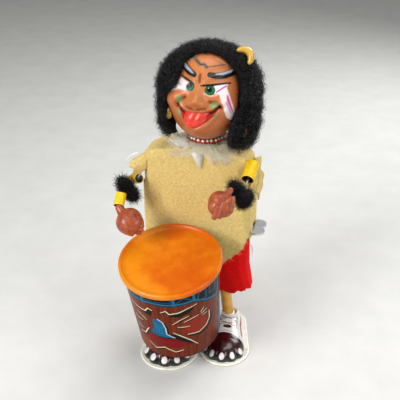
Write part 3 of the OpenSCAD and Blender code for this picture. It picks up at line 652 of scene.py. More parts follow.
def make_curls(outer):
    rng = np.random.default_rng(7)
    outside = ~in_face_opening(outer[:-1], 0.3)

    def fur(name, paths, low, high):
        strands(name, paths, rng.uniform(low, high, len(paths)), "head", BLACK_CURL_AND_GLINTS)

    for band in range(7):
        roots, normals = sample_surface(rng, outer, 2700, outside)
        paths = curls(rng, roots, normals, 0.25, (0.2, 4.2), (0.8, 2.3), (0.9, 2.3), steps=12)
        fur(f"wig_curls_{band + 1}", paths, 0.13, 0.22)
    # Hairs round the face opening reach in over its edge and hide the backing's rim
    roots, normals = sample_surface(rng, outer, 16000, outside)
    near = in_face_opening(roots, 3.2)
    roots, normals = roots[near], normals[near]
    roots = roots + (HAIR_MID - roots) * [1, 1, 0] * rng.uniform(0, 0.2, len(roots))[:, None]
    paths = curls(rng, roots, normals, 0.5, (-0.5, 2), (0.4, 0.9), (0.6, 1.4))
    fur("hairline_curls", paths[:4800], 0.14, 0.22)
    # Loose flyaway ends
    roots, normals = sample_surface(rng, outer, 3000, outside)
    paths = curls(rng, roots, normals, 0.1, (3.2, 6.2), (0.7, 1.6), (0.6, 1.8), spread=0.8, steps=12)
    fur("flyaway_hairs", paths, 0.11, 0.18)


make_curls(make_wig())


# ---- Drum ----
DRUM_AT = np.array([-9.4, -30.3, 22])
DRUM_LEAN, DRUM_TILT = math.radians(12.7), math.radians(-2.1)
DRUM_BASE_R, DRUM_TOP_R, DRUM_H = 29, 33.1, 67
WOOD, WOOD_DARK, WOOD_RED = (0.44, 0.16, 0.05), (0.17, 0.04, 0.02), (0.62, 0.14, 0.03)
CREAM, NOSE_EDGE = (0.98, 0.9, 0.72), (0.8, 0.86, 0.88)
REACH = 0.54  # millimetres round the drum for each degree
TEAL, BLUE, INK, CRIMSON = (0, 0.43, 0.56), (0.03, 0.36, 0.52), (0.01, 0.01, 0.015), (0.45, 0, 0.03)


def on_drum(points):
    """From the drum's own directions to the doll's."""
    lean = np.array([[1, 0, 0], [0, math.cos(DRUM_LEAN), -math.sin(DRUM_LEAN)],
                     [0, math.sin(DRUM_LEAN), math.cos(DRUM_LEAN)]])
    tilt = np.array([[math.cos(DRUM_TILT), 0, math.sin(DRUM_TILT)], [0, 1, 0],
                     [-math.sin(DRUM_TILT), 0, math.cos(DRUM_TILT)]])
    return DRUM_AT + points @ (tilt @ lean).T


def carved(p, line, shift=0.9, width=0.85):
    """A cut line of the carving: a dark groove under a cream edge. u is in degrees, v in millimetres."""
    p.stroke([(u + shift / REACH, v - shift * 1.3) for u, v in line], width * 2.4, INK, 0.5, 1, 0.5)
    p.stroke(line, width, CREAM, 0.3, 1, 0.35)


def paint_drum(turn, v):
    """A carved-wood print: a mask's brows, cheeks, nose and mouth, repeated on the back half."""
    angle = np.where(np.abs(turn) > 96, (turn - np.sign(turn) * 180), turn)
    p = Paint(angle * REACH, v, WOOD, (REACH, 1))
    streak = np.sin(p.u * 1.9 + 1.4 * np.sin(p.v / 9 + p.u)) + np.sin(p.u * 4.7 + 2.1 * np.sin(p.v / 6))
    p.lay(smooth((streak - 0.3) / 1.2) * 0.65, WOOD_DARK)
    p.lay(smooth((-streak - 0.7) / 1) * 0.5, WOOD_RED)
    p.all(p.spot, (40 * REACH, 33, 9, 9, WOOD_RED, 5, 0.75),
          (12 * REACH, 12, 9, 6, (0.5, 0.17, 0.05), 6, 0.5),
          (-36 * REACH, 8, 5, 8, (0.62, 0.3, 0.08), 4, 0.5))
    # Band under the rim
    band = [(-96, 52), (-51, 56.8), (-13, 58.6), (15, 58), (40, 57.8), (56, 51.5), (76, 46), (96, 48)]
    p.patch([(-96, 70), *band, (96, 70)], INK, 0.3)
    p.all(p.stroke, (band, 1.7, TEAL, 0.4), ([(a, b - 1.2) for a, b in band], 0.7, INK, 0.4))
    for a in (-78, -24, 15, 39.5, 84):
        p.stroke([(a, 70), (a, 57.5 if a < 60 else 46)], 1.8, TEAL, 0.4)
    for a, b in ((18, 36), (-60, -28)):
        p.all(p.stroke, ([(a, 59.5), (b, 66)], 0.8, BLUE, 0.4), ([(a, 66), (b, 59.5)], 0.8, BLUE, 0.4))
    p.stroke([(-21, 60.5), (12, 60.5), (12, 64.5), (-21, 64.5), (-21, 60.5)], 0.6, BLUE, 0.4)
    for a in (44, 62):
        p.stroke([(a + 2, 62), (a, 55), (a + 13, 54), (a + 12, 63), (a + 2, 62)], 0.8, BLUE, 0.4)
    # Upright band beside the mask
    p.patch([(79, 0), (92, 0), (92, 48), (79, 46)], INK, 0.4)
    p.all(p.stroke, ([(82 + 5 * (i % 2), 2 + i * 4.5) for i in range(10)], 1.1, TEAL, 0.4),
          ([(79, 0), (79, 46)], 0.7, (0.5, 0.3, 0.16), 0.4))
    # Brows with their shadows
    p.all(p.patch,
          ([(8, 48.6), (19, 49.2), (31, 51.6), (42, 52.5), (33, 47.5), (21, 44.8), (9, 46)], INK, 0.6),
          ([(-36, 47.6), (-23.5, 47.2), (-18, 51.5), (-12.8, 50.3), (-16, 44), (-25, 44.5)], INK, 0.6))
    carved(p, [(-2, 50), (4.2, 52), (8, 48.7), (19.4, 49.5), (30, 51.7), (42.4, 52.9)], 0.5)
    carved(p, [(-53, 48.4), (-36.6, 47.8), (-23.5, 47.6), (-18.2, 51.8), (-12.8, 50.5)], 0.5)
    # Cheek lines
    for strip in ([(-46, 36.5), (-41, 33.7), (-31.8, 34.6)], [(-39, 42.5), (-24.5, 37.5)],
                  [(-47.3, 26.5), (-34.3, 24.8)], [(10, 37.6), (20.2, 41.8), (31.2, 44)],
                  [(24.5, 38.7), (34, 40.4), (44, 41)], [(15.8, 34.4), (31.3, 33)],
                  [(46.9, 42.6), (52.4, 45.7)], [(48, 40.8), (57.2, 42.4)], [(49.8, 38.6), (56.9, 38.6)]):
        carved(p, strip, 0.45, 0.7)
    arc = [(60.8, 38), (60.8, 31), (55, 26), (43, 23.2), (27.5, 25)]
    p.all(p.stroke, ([(a + 2.4, b - 1.8) for a, b in arc], 3, INK, 0.6, 1, 0.5),
          (arc, 0.9, CREAM, 0.3, 1, 0.3))
    # Mouth
    p.patch([(-43, 17.5), (-28, 24.5), (-20, 22), (9, 22), (26, 18.5), (33, 13), (10, 12), (-16, 13.5)],
            CRIMSON, 0.8)
    for k in range(4):
        p.stroke([(-34 + k, 19.5 - k * 1.6), (-5, 19.5 - k * 1.7), (24, 16.8 - k * 1.2)], 0.5,
                 (0.68, 0.08, 0.12), 0.5, 0.7, 0.6)
    p.patch([(6, 27.5), (17, 25), (30, 18), (38, 11.5), (26, 16), (14, 21), (4, 23)], INK, 0.5)
    carved(p, [(9.3, 28.6), (17.4, 25.1), (29.9, 18.2), (39.5, 11)], 0.45)
    carved(p, [(-43.5, 18.6), (-33, 20.5), (-28, 25.7), (-23.7, 29.2)], 0.45)
    carved(p, [(-29, 12.5), (-20, 8), (-6.1, 11.4), (8.2, 6.9), (19.5, 8.6)], 0.4)
    # Nose
    nose = [(-15, 41), (-8, 42.3), (-2.4, 39.6), (0.4, 33), (0.6, 26.8), (10.3, 22.7), (-0.9, 22.4),
            (-11.3, 23), (-23, 26), (-16, 31)]
    p.all(p.patch, ([(a + 3, b - 0.6) for a, b in nose], INK, 0.6), (nose, BLUE, 0.4))
    for k in range(3):
        p.stroke([(-12 + 3.2 * k, 39 - k), (-12 + 3.6 * k, 27 - k)], 0.6, (0.1, 0.52, 0.66), 0.5, 1, 0.6)
    p.all(p.stroke, (nose[1:5], 0.8, NOSE_EDGE, 0.3), ([(0.6, 26.8), (10.3, 22.9)], 0.8, NOSE_EDGE, 0.3),
          ([(-23, 26), (-12, 23.2), (-1, 22.6), (10.3, 22.5)], 0.6, INK, 0.3))
    p.patch([(-96, -1), (96, -1), (96, 0.7), (-96, 0.7)], (0.12, 0.05, 0.03), 0.3)
    return p.colour


def make_drum():
    v, turn = column(180, 0, DRUM_H), around(500) - math.pi
    r = DRUM_BASE_R + (DRUM_TOP_R - DRUM_BASE_R) * v / DRUM_H
    wall = lambda r: on_drum(xyz(r * np.sin(turn), -r * np.cos(turn), v))
    print_on = paint_drum(*np.broadcast_arrays(np.degrees(turn), v))
    drum = new_piece("drum_print", wall(r), "figure", LITHO, paint=print_on)
    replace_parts(drum, "drum_shell")
    # The lining needs only the first and last of the rows and every tenth column
    new_piece("drum_lining", wall(r - 0.6)[::179, ::10], "figure", YELLOW_TIN,
              grid_faces(2, 50)[:, ::-1])


make_drum()


# ---- Shoes ----
SHOE_WHITE, MAROON = (0.95, 0.94, 0.92), (0.2, 0.02, 0.04)
TOE_BLACK, BLUE_SHADE = (0.05, 0.015, 0.015), (0.68, 0.8, 0.88)
# Middle and radius of the toe's circle, heading in degrees from toe to heel, and the ankle's place
SHOES = {"right": (np.array([-17, -34.5]), 21, 92.5, (-19, 4)),
         "left": (np.array([22.5, -24]), 18.4, 92, (22, 3))}
SHOE_LEN, HEEL_R, SOLE_T, RIM_INSET = 35, 12, 1.2, 3.7
TOES = 5


class ShoeShape:
    """A foot-shaped outline: two circles and the lines that touch both."""

    def __init__(self, toe, toe_r, heading):
        self.toe, self.toe_r = toe, toe_r
        heading = math.radians(heading)
        self.axis = np.array([math.cos(heading), math.sin(heading)])
        self.side = np.array([-self.axis[1], self.axis[0]])

    def outline(self, count):
        turn = around(count)[0]
        lean = math.acos((self.toe_r - HEEL_R) / SHOE_LEN)
        on_heel = (np.abs((turn + math.pi) % (2 * math.pi) - math.pi) < lean)[:, None]
        middle = np.where(on_heel, self.toe + self.axis * SHOE_LEN, self.toe)
        return middle + np.where(on_heel, HEEL_R, self.toe_r) * spin(turn, self.axis, self.side)

    def evenly(self, count):
        """The outline's points, spaced evenly along it."""
        fine = self.outline(1600)
        closed = np.vstack([fine, fine[:1]])
        along = np.r_[0, np.cumsum(np.linalg.norm(np.diff(closed, axis=0), axis=1))]
        at = np.arange(count) * along[-1] / count
        return np.stack([np.interp(at, along, closed[:, k]) for k in range(2)], -1)

    def flat(self, points):
        """How far points lie towards the heel and to the side, from the toe's middle."""
        return (points - self.toe) @ self.axis, (points - self.toe) @ self.side

    def inward(self, edge):
        spine = self.toe + self.axis * np.clip(self.flat(edge)[0], 0, SHOE_LEN)[:, None]
        return unit(spine - edge)


def make_shoe(name, shape):
    toe_r_up = shape.toe_r - RIM_INSET
    t = column(90)
    base = shape.evenly(420)
    inward = shape.inward(base)
    rim = base + inward * RIM_INSET
    spine = shape.toe + shape.axis * np.clip(shape.flat(base)[0], 3, SHOE_LEN - 4)[:, None]
    back, across = (x / toe_r_up for x in shape.flat(rim))
    front = -back
    # Five rounded toes bulge out of the front edge
    phase = np.clip((np.arctan2(across, front) / math.radians(78) + 1) / 2, 0, 1) * TOES
    lobes = np.abs(np.sin(phase * math.pi)) * (front > 0.05) * smooth((front - 0.02) / 0.25)
    plan = rim + (spine - rim) * (1 - np.cos(t * math.pi / 2))[..., None]
    height = np.interp(np.clip(shape.flat(plan)[0], 0, 39), [0, 8, 16, 24, 30, 35, 39],
                       [11, 12.5, 13.6, 14.4, 14.6, 14.5, 12.5])
    plan = plan - inward * (1.5 * lobes * bell(t - 0.1, 0.2))[..., None]
    crease = -0.8 * (1 - lobes) * (front > 0.12) * bell(t - 0.16, 0.16)
    z = SOLE_T + height * np.sin(t * math.pi / 2) ** 0.85 + crease * smooth(t / 0.1)
    s, a = (x.ravel() for x in shape.flat(plan))
    print_on = paint_shoe(a, s, *(np.broadcast_to(x, z.shape).ravel() for x in (t, phase, front)))
    upper = new_piece(f"{name}_shoe_print", xyz(plan[..., 0], plan[..., 1], z), "figure", SHOE,
                      paint=print_on)
    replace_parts(upper, f"{name}_shoe")


def paint_shoe(across, back, up, phase, front):
    """White with a maroon toe cap, toenails, laces and stripes."""
    p = Paint(across, back, SHOE_WHITE)
    edge = 3.5 + 1.4 * np.cos(across / 6)
    cap = smooth((edge - back) / 0.5)
    p.lay(smooth((edge + 2.4 - back) / 0.5) * 0.85, BLUE_SHADE)
    p.lay(smooth((edge + 1.2 - back) / 0.5), (0.93, 0.95, 0.96))
    p.lay(cap, MAROON)
    p.lay(cap * smooth((0.34 - up) / 0.16), TOE_BLACK)
    nail = np.hypot(np.abs(phase - np.floor(phase) - 0.5) / 0.27, (up - 0.23) / 0.14)
    p.lay(smooth((1 - nail) / 0.25) * (front > 0.14) * cap, (0.95, 0.93, 0.92))
    # Laces, eyelets and the tongue's outline
    for low in (13, 18.4, 23.8):
        p.all(p.stroke, ([(-5, low), (4.6, low + 2.6)], 0.7, (0.25, 0.25, 0.27), 0.4),
              ([(5, low), (-4.6, low + 2.6)], 0.5, (0.42, 0.42, 0.42), 0.4))
        for eye in (-5.6, 5.6):
            p.spot(eye, low, 0.7, 0.7, (0.2, 0.2, 0.22), 0.4)
    p.all(p.spot, (-0.5, 10.8, 3.1, 1.7, (0.1, 0.09, 0.05), 0.5), (-0.2, 11, 1.6, 0.7, (0.3, 0.3, 0.12), 0.5))
    for flank in (-1, 1):
        p.all(p.stroke,
              ([(flank * 7.4, 11), (flank * 6.6, 20), (flank * 5.6, 30)], 0.5, (0.5, 0.53, 0.56), 0.5),
              ([(flank * 11.8, 8), (flank * 9.5, 18), (flank * 8.5, 33)], 1, (0.6, 0.08, 0.08), 0.5))
    return p.colour


def make_ankle_ring(name, ankle):
    """The rolled collar round the leg, in place of a hole cut through the upper."""
    rows, columns = 18, 48
    turn, ring = around(columns), around(rows).T
    r = 5.6 + 1.3 * np.cos(ring)
    points = xyz(ankle[0] + r * np.cos(turn), ankle[1] + r * np.sin(turn), 14.6 + 1.6 * np.sin(ring))
    new_piece(f"{name}_shoe_collar", points, "figure", SHOE,
              grid_faces(rows + 1, columns) % (rows * columns), np.tile(SHOE_WHITE, (rows * columns, 1)))


def make_sole(name, shape):
    """The stamped flange under a shoe, with a softly rolled edge."""
    edge = shape.outline(240)
    inward = shape.inward(edge)
    # How far in and how high each line of the rolled edge lies
    profile = [(4.2, 0), (0.5, 0), (0.1, 0.2), (0, 0.6), (0.12, 1), (0.5, 1.3), (1.1, 1.25), (2, 1.05),
               (4.2, 1)]
    points = np.stack([np.c_[edge + inward * d, np.full(len(edge), z)] for d, z in profile])
    sole = new_piece(f"{name}_sole_flange", points, "figure", SOLE,
                     grid_faces(*points.shape[:2], capped=True))
    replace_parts(sole, f"{name}_sole")


for shoe, (*measures, ankle) in SHOES.items():
    foot = ShoeShape(*measures)
    make_shoe(shoe, foot)
    make_ankle_ring(shoe, ankle)
    make_sole(shoe, foot)


# ---- Directions as seen from the front ----
SEEN_RIGHT = np.array([0.978, 0.208, 0])
SEEN_UP = np.array([-0.098, 0.459, 0.883])
SEEN_NEAR = np.array([0.184, -0.864, 0.469])


def seen(middle, right, up, near):
    return np.asarray(middle) + right * SEEN_RIGHT + up * SEEN_UP + near * SEEN_NEAR


# ---- Tunic ----
TORSO_X, TORSO_Y = -3, 8
HEM = np.array([(-41, 80), (-20, 71), (0, 62), (6, 53), (10, 53), (20, 63), (30, 74), (36, 82), (41, 87)])
TUNIC_X, TUNIC_Y, ROUNDING, FELT = 40, 15.5, 6, 1.1
ROOF = np.array([(0, 153), (13, 153), (25, 150.5), (34, 147.6), (37.5, 145.5), (41, 141)])
# Creases in the front: height, place across and up, slant, width, and the middle and half height of the run
CREASES = [(1.2, 20, 132, 0.5, 3.5, 134, 13), (-1.3, 27, 132, 0.45, 2.2, 136, 10),
           (1.1, -31, 125, -0.25, 3, 124, 16), (0.7, -8, 90, 0.3, 5, 92, 14)]


def full_corner(v, power=0.6):
    return np.sign(v) * np.abs(v) ** power


def tunic_surface(turn, share, inset):
    """The tunic by turn around the body and share of the way from hem to neck hole."""
    x = (TUNIC_X - inset) * full_corner(np.cos(turn))
    y = (TUNIC_Y - inset) * full_corner(np.sin(turn))
    ragged = 0.5 * np.sin(turn * 37) + 0.4 * np.sin(turn * 83 + 1) + 0.8 * np.sin(turn * 9)
    hem = np.interp(x, *HEM.T) + ragged
    roof = lambda across: np.interp(np.abs(across), *ROOF.T) - inset
    body = np.clip(share / 0.72, 0, 1)
    over = np.clip((share - 0.72) / 0.28, 0, 1)
    neck_x, neck_y = 6 + (10.2 + inset) * np.cos(turn), -4 + (9.8 + inset) * np.sin(turn)
    span = np.hypot(neck_x - x, neck_y - y)
    rounded = np.sqrt(1 - (1 - np.clip(over * span / ROUNDING, 0, 1)) ** 2)
    px, py = x + (neck_x - x) * over, y + (neck_y - y) * over
    z = np.where(over > 0, roof(px) - ROUNDING * (1 - rounded), hem + (roof(x) - ROUNDING - hem) * body)
    # Soft folds: upright waves that fade upwards, and a few slanting creases
    wave = 0.9 * np.sin(turn * 7 + 0.6) * (1 - body) ** 0.8 + 0.35 * np.sin(turn * 13 + z / 17)
    crease = sum(high * bell((px - cx) + (z - cz) * slant, wide) * bell(z - middle, run)
                 for high, cx, cz, slant, wide, middle, run in CREASES)
    lift = (wave + crease * (np.sin(turn) < 0)) * (over < 0.9)
    away = unit(xyz(px * 0.25, py, 0))
    return xyz(px + TORSO_X, py + TORSO_Y, z) + away * (lift * (1 - over))[..., None]


def make_tunic():
    rng = np.random.default_rng(11)
    outer, inner = (tunic_surface(around(360), column(130), inset) for inset in (0, FELT))
    x, y, z = outer.reshape(-1, 3).T
    armhole = (np.abs(x - TORSO_X) > 37.5) & (z > 122) & (z < 142.5) & (np.abs(y - 4) < 7.5)
    key_hole = (x > 30) & (np.hypot(y - 8, z - 89) < 5)
    faces = grid_faces(*outer.shape[:2])
    keep = ~(armhole | key_hole)[faces].any(axis=1)
    tunic = new_piece("felt_tunic", np.stack([outer, inner]), "figure", TAN_FELT,
                      joined_skins(faces[keep], len(x)))
    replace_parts(tunic, "tunic")
    extras = [make_right_sleeve(), make_left_flap(), make_nap(rng, outer, keep),
              *make_frayed_edge(rng, outer)]


def cloth_strip(name, grid):
    """A small open sheet with two skins, baked in place on no body."""
    normal = unit(np.cross(np.gradient(grid, axis=1), np.gradient(grid, axis=0)))
    rows, columns = grid.shape[:2]
    strip = new_piece(name, np.stack([grid, grid - normal * 0.9]), None, TAN_FELT,
                      joined_skins(grid_faces(rows, columns, closed=False), rows * columns))
    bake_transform(strip)
    return strip


def make_right_sleeve():
    """The short sleeve over the right arm, its edge torn into two scallops."""
    out, turn = column(26), np.linspace(-0.6, 3.5, 60)[None, :]
    reach = out * (1 - 0.26 * np.abs(np.sin((turn + 0.6) * 2.3)) ** 5 + 0.05 * np.sin(turn * 31))
    radius = 7.6 + 1.2 * np.sin(turn * 3.1) * out + 0.5 * out
    x = -38.5 - 9.4 * reach - 1 * np.sin(turn) * reach
    y = 3 - 7.5 * reach + radius * np.cos(turn) * 0.92
    z = 136.4 - 5 * reach + radius * np.sin(turn) * 0.95
    return cloth_strip("right_sleeve_edge", xyz(x, y, z))


def make_left_flap():
    """A torn flap that hangs behind the left arm, narrow at the shoulder and scalloped below."""
    down, across = column(36), np.linspace(-1, 1, 30)[None, :]
    torn = 1 - 0.2 * np.abs(np.sin(across * 4.4 + 0.5)) - 0.05 * np.sin(across * 19)
    half = 2.2 + 4.6 * smooth((down - 0.25) / 0.5) + 0.7 * np.sin(down * 15) * (across > 0)
    x = 38.2 + 1.6 * np.sin(down * 3.1) - 0.8 * down + across * half * 0.62 + 0.5 * np.sin(across * 6) * down
    y = 5 - 8.5 * down + across * half * 0.78
    z = 146 - 29 * down * torn
    return cloth_strip("left_sleeve_edge", xyz(x, y, z))


def fuzz(rng, surface, count, stand, sway, droop=0.0, allowed=1):
    """Paths of short fibres that stand off a cloth."""
    roots, normals = (v[:, None] for v in sample_surface(rng, surface, count, allowed))
    steps = np.linspace(0, 1, 4)[None, :, None]
    lean = unit(rng.normal(size=(count, 3)) + [0, 0, -droop])[:, None]
    return roots - normals * 0.2 + (normals * stand + lean * sway * steps) * steps


def make_nap(rng, outer, keep):
    """Short fibres standing off the flannel."""
    allowed = keep.reshape(outer.shape[0] - 1, outer.shape[1])
    paths = fuzz(rng, outer, 9000, 0.75, 0.9, 0.6, allowed)
    radius = rng.uniform(0.03, 0.06, len(paths))
    return strands("flannel_nap", paths, radius, "figure", TAN_THREAD)


def make_frayed_edge(rng, outer):
    """Loose threads along the hem and the white thread at the right shoulder."""
    count = 420
    roots = outer[0, rng.integers(0, outer.shape[1], count)]
    steps = np.linspace(0, 1, 6)[None, :, None]
    drop = np.array([0, 0, -1]) + rng.normal(size=(count, 3)) * [0.7, 0.35, 0.3]
    paths = roots[:, None] + [0, 0, 0.8] + drop[:, None] * rng.uniform(1.2, 3.2, (count, 1, 1)) * steps
    paths = paths + np.sin(steps * 5 + rng.uniform(0, 6, (count, 1, 1))) * 0.25
    edge = strands("frayed_hem", paths, rng.uniform(0.06, 0.12, count), "figure", TAN_THREAD)
    t = column(14)
    a, b, c = np.array([(-45, 1, 143), (-53, -1, 143), (-56, -3, 132.5)])
    thread = (1 - t) ** 2 * a + 2 * t * (1 - t) * b + t**2 * c
    loose = np.stack([thread + rng.normal(size=3) * 0.25 for _ in range(3)])
    white = strands("loose_white_thread", loose, [0.24, 0.2, 0.18], "figure", WHITE_THREAD,
                    sides=5, tip=0.5)
    return edge, white


make_tunic()


# ---- Shorts ----
def make_shorts():
    share, turn = column(70), around(300)
    ragged = 0.7 * np.sin(turn * 11) + 0.4 * np.sin(turn * 29 + 2) - 3.5 * bell(turn - 5.2, 0.12)
    hem, waist = 37 + ragged, 79
    z = hem + (waist - hem) * share
    # A stadium round the hips that widens to the hem
    low = np.clip((57 - z) / 20, 0, 1.2)
    straight, round_d = 39.6 + 8.4 * low, 26.4 - 3.4 * low
    x = full_corner(np.cos(turn), 0.62) * (straight + round_d) / 2
    y = full_corner(np.sin(turn), 0.62) * round_d / 2 + 2.5 * low
    fold = 0.45 * np.sin(turn * 6 + 0.5) * (1 - share) + 0.15 * np.sin(turn * 15 + z / 9)
    fold = fold - 1.2 * bell(x - 7, 2.5) * (np.sin(turn) < 0) * (1 - share)
    away = unit(xyz(x * 0.3, y, 0))
    skins = np.stack([xyz(x + 1, y + TORSO_Y, z) + away * (fold - inset)[..., None] for inset in (0, 1)])
    shorts = new_piece("felt_shorts", skins, "figure", RED_FELT,
                       joined_skins(grid_faces(*z.shape), z.size))
    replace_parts(shorts, "shorts")
    rng = np.random.default_rng(5)
    paths = fuzz(rng, skins[0], 5000, 0.6, 0.8)
    radius = rng.uniform(0.03, 0.05, len(paths))
    felt = strands("red_felt_fuzz", paths, radius, "figure", RED_FUZZ)
    t = column(10)
    hang = np.array([36, 1, 78]) + np.array([2.5, -0.6, -9.5]) * t + np.sin(t * 5) * [0.9, 0.3, 0]
    threads = np.stack([hang, hang + [-1.2, 0, 0.5] + np.sin(t * 4) * [0.8, 0, 0]])
    pink = strands("pink_loose_threads", threads, [0.22, 0.17], "figure", PINK_THREAD,
                   sides=5, tip=0.5)


make_shorts()


# ---- Collar, necklace and rings ----
def front_of_tunic(x, z, off):
    """A point just in front of the tunic, at x and height z."""
    roof = np.interp(np.abs(x - TORSO_X), *ROOF.T)
    z = np.minimum(z, roof + off)
    bend = np.clip((z - (roof - ROUNDING)) / ROUNDING, 0, 1)
    y = TORSO_Y - TUNIC_Y * np.clip(1 - (np.abs(x - TORSO_X) / TUNIC_X) ** 3.3, 0, 1) ** 0.3
    return np.stack([x, y - off + ROUNDING * (1 - np.sqrt(1 - bend**2)), z], -1)


def fringe(rng, start, end, steps, bow, scatter):
    """Hairs from the points of start to those of end, bowed away from the cloth."""
    t = np.linspace(0, 1, steps)[None, :, None]
    path = start[:, None] + (end - start)[:, None] * t + np.asarray(bow) * np.sin(t * math.pi)
    wander = rng.normal(size=(len(start), 1, 3)) * scatter
    return path + wander * t**1.5 + 0.25 * np.sin(t * 7 + rng.uniform(0, 6, (len(start), 1, 1)))


def make_collar():
    rng = np.random.default_rng(21)

    def mohair(name, paths, low, high, material=CREAM_THREAD):
        return strands(name, paths, rng.uniform(low, high, len(paths)), "figure", material)

    n = 1100
    turn = rng.uniform(0, 2 * math.pi, n)
    direction = np.stack([np.cos(turn), np.sin(turn), 0 * turn], -1)
    t = np.linspace(0, 1, 8)[None, :, None]
    length = rng.uniform(3.5, 11.5, (n, 1, 1))
    lift = rng.uniform(0.2, 4.5, (n, 1, 1))
    ring = NECK_AT + direction * 10.4 + np.array([0, 0, 1]) * rng.uniform(153, 156.5, (n, 1))
    swirl = np.cross(direction, [0, 0, 1])[:, None] * rng.normal(size=(n, 1, 1)) * 4.5
    path = ring[:, None] + direction[:, None] * length * t + swirl * t**1.4
    path = path + np.array([0, 0, 1]) * (lift * np.sin(t * 2.6) - 2.6 * t**2)
    # The hairs stay above the tunic's shoulders and its rounded front edge
    ahead = np.clip((TORSO_Y - TUNIC_Y + ROUNDING - path[..., 1]) / ROUNDING, 0, 1.6)
    drop = 1 - np.sqrt(1 - np.minimum(ahead, 1) ** 2) + np.maximum(ahead - 1, 0)
    floor = np.interp(np.abs(path[..., 0] - TORSO_X), *ROOF.T) + 0.3 - ROUNDING * drop
    path[..., 2] = np.maximum(path[..., 2], floor)
    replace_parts(mohair("mohair_ruff", path, 0.1, 0.17), "collar_fringe")
    # Fan of long hairs that stand up at the right of the neck
    n = 54
    foot = np.stack([np.linspace(-14, -6.5, n), rng.uniform(-9.5, -7.5, n), rng.uniform(153.5, 156, n)], -1)
    tip = np.stack([np.linspace(-24, -9, n), rng.uniform(-9, -6, n),
                    160.5 + 6 * np.sin(np.linspace(0.1, 2.6, n)) + rng.normal(size=n) * 1.8], -1)
    mohair("fan_tuft", fringe(rng, foot, tip, 8, (-0.6, -1.4, 0.4), 0.9), 0.13, 0.21, WHITE_THREAD)
    # Hairs down the front: one pointed tuft and a patch brushed to the left
    n = 190
    start = rng.uniform((-5, -6.2, 151.6), (4.5, -4.8, 154.2), (n, 3))
    end = rng.uniform((0.2, -9.8, 140), (1.8, -9.1, 147), (n, 3))
    mohair("pointed_tuft", fringe(rng, start, end, 8, (-0.8, -1.8, 1.2), 0.35), 0.14, 0.24, WHITE_THREAD)
    n = 330
    start = front_of_tunic(rng.uniform(3, 19, n), rng.uniform(149.5, 153, n), 0.5)
    end_x = rng.uniform(8, 26, n)
    end = front_of_tunic(end_x, 149.5 - 5.5 * rng.uniform(0, 1, n) + (end_x - 20) * 0.12, 0.5)
    mohair("brushed_patch", fringe(rng, start, end, 8, (0.3, -1.3, 0.8), 1.2), 0.1, 0.17)
    n = 240
    start = front_of_tunic(rng.uniform(-20, -2, n), rng.uniform(149, 153, n), 0.5)
    end = start + rng.normal(size=(n, 3)) * [4, 0.4, 0.8] + [-1.5, -0.8, -4.5] * rng.uniform(0.2, 1, (n, 1))
    mohair("soft_front_fringe", fringe(rng, start, end, 7, (0, -1, 0.6), 0.9), 0.08, 0.14)


def make_necklace():
    rng = np.random.default_rng(3)
    count, turns = 220, 34
    a = np.arange(count + 1)[:, None] % count * 2 * math.pi / count
    outward = spin(a[:, 0], [1, 0, 0], [0, 1, 0])
    loops = np.stack([(3, 3, 160.4) + outward * (12.6 + 0.5 * np.cos(a * turns + phase))
                      + [0, 0, 0.5] * np.sin(a * turns + phase) for phase in (0, math.pi)])
    cord = strands("necklace_cord", loops, [0.62, 0.62], "figure", RED_CORD, 8, 1)
    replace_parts(cord, "necklace")
    beads = (3, 3, 161.3) + 12.9 * spin(around(28)[0], [1, 0, 0], [0, 1, 0]) + rng.normal(size=(28, 3)) * 0.18
    ball = unit_ball(11, 14)
    points = np.concatenate([bead + ball * r for bead, r in zip(beads, rng.uniform(0.85, 1.1, 28))])
    faces = np.concatenate([grid_faces(11, 14) + i * len(ball) for i in range(28)])
    new_piece("necklace_beads", points, "figure", BEAD, faces)


def make_rings():
    s, turn = column(24), around(24)
    r = 2.3 * np.sin(s * math.pi) ** 0.8 * (1.25 - 0.75 * s) + 0.02
    for side, middle in (("right", (-18.3, -16.2, 180.6)), ("left", seen((30.6, -6, 167), -1.5, 0, 11))):
        points = xyz(r * np.cos(turn), r * 0.7 * np.sin(turn), 8 * (s - 0.45)) + middle
        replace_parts(new_piece(side + "_drop", points, "head", RING), side + "_earring")
    # The hoop in the hair, a bent round band that is thickest at its middle
    a, turn = column(60, -0.9, 2.3), around(16)
    out = spin(a, SEEN_RIGHT, SEEN_UP)
    thick = 2.4 * (0.35 + 0.65 * np.sin(column(60, 0, math.pi)) ** 0.6)
    points = ((27.3, -3.5, 217.5) + out * (5.2 + thick * np.cos(turn))[..., None]
              + np.cross(SEEN_RIGHT, SEEN_UP) * (1.25 * thick * np.sin(turn))[..., None])
    band = new_piece("hair_band", points, "head", RING, grid_faces(60, 16, capped=True))
    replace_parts(band, "hair_ring")


make_collar()
make_necklace()
make_rings()


# ---- Arms ----
HANDS = {RIGHT: np.array([-41.4, -37, 110]), LEFT: np.array([20.6, -37, 130.1])}
# Both ends and the radius of each upper and lower tube; the upper one's mouth is its second end
TUBES = {RIGHT: [((-50.4, -4, 123.6), (-42, -10.5, 128.8), 3.5),
                 ((-50.4, -25, 123.6), (-50.6, -32, 117.6), 3.5)],
         LEFT: [((36, -1, 144), (34.4, -14, 137.6), 4.2), ((33, -21, 130), (31, -23.5, 131), 2.6)]}
# The middles and radii of the fur pads
PADS = {RIGHT: [((-51.2, -19, 129.4), 3.4), ((-47.8, -20, 124.2), 3.6), ((-44.4, -17.5, 118.8), 3.8)],
        LEFT: [((27.2, -25, 137.6), 3.2), ((30.6, -24, 132), 4.2), ((32.8, -22, 124.6), 4.4),
               ((35.4, -19, 128.2), 4.2)]}
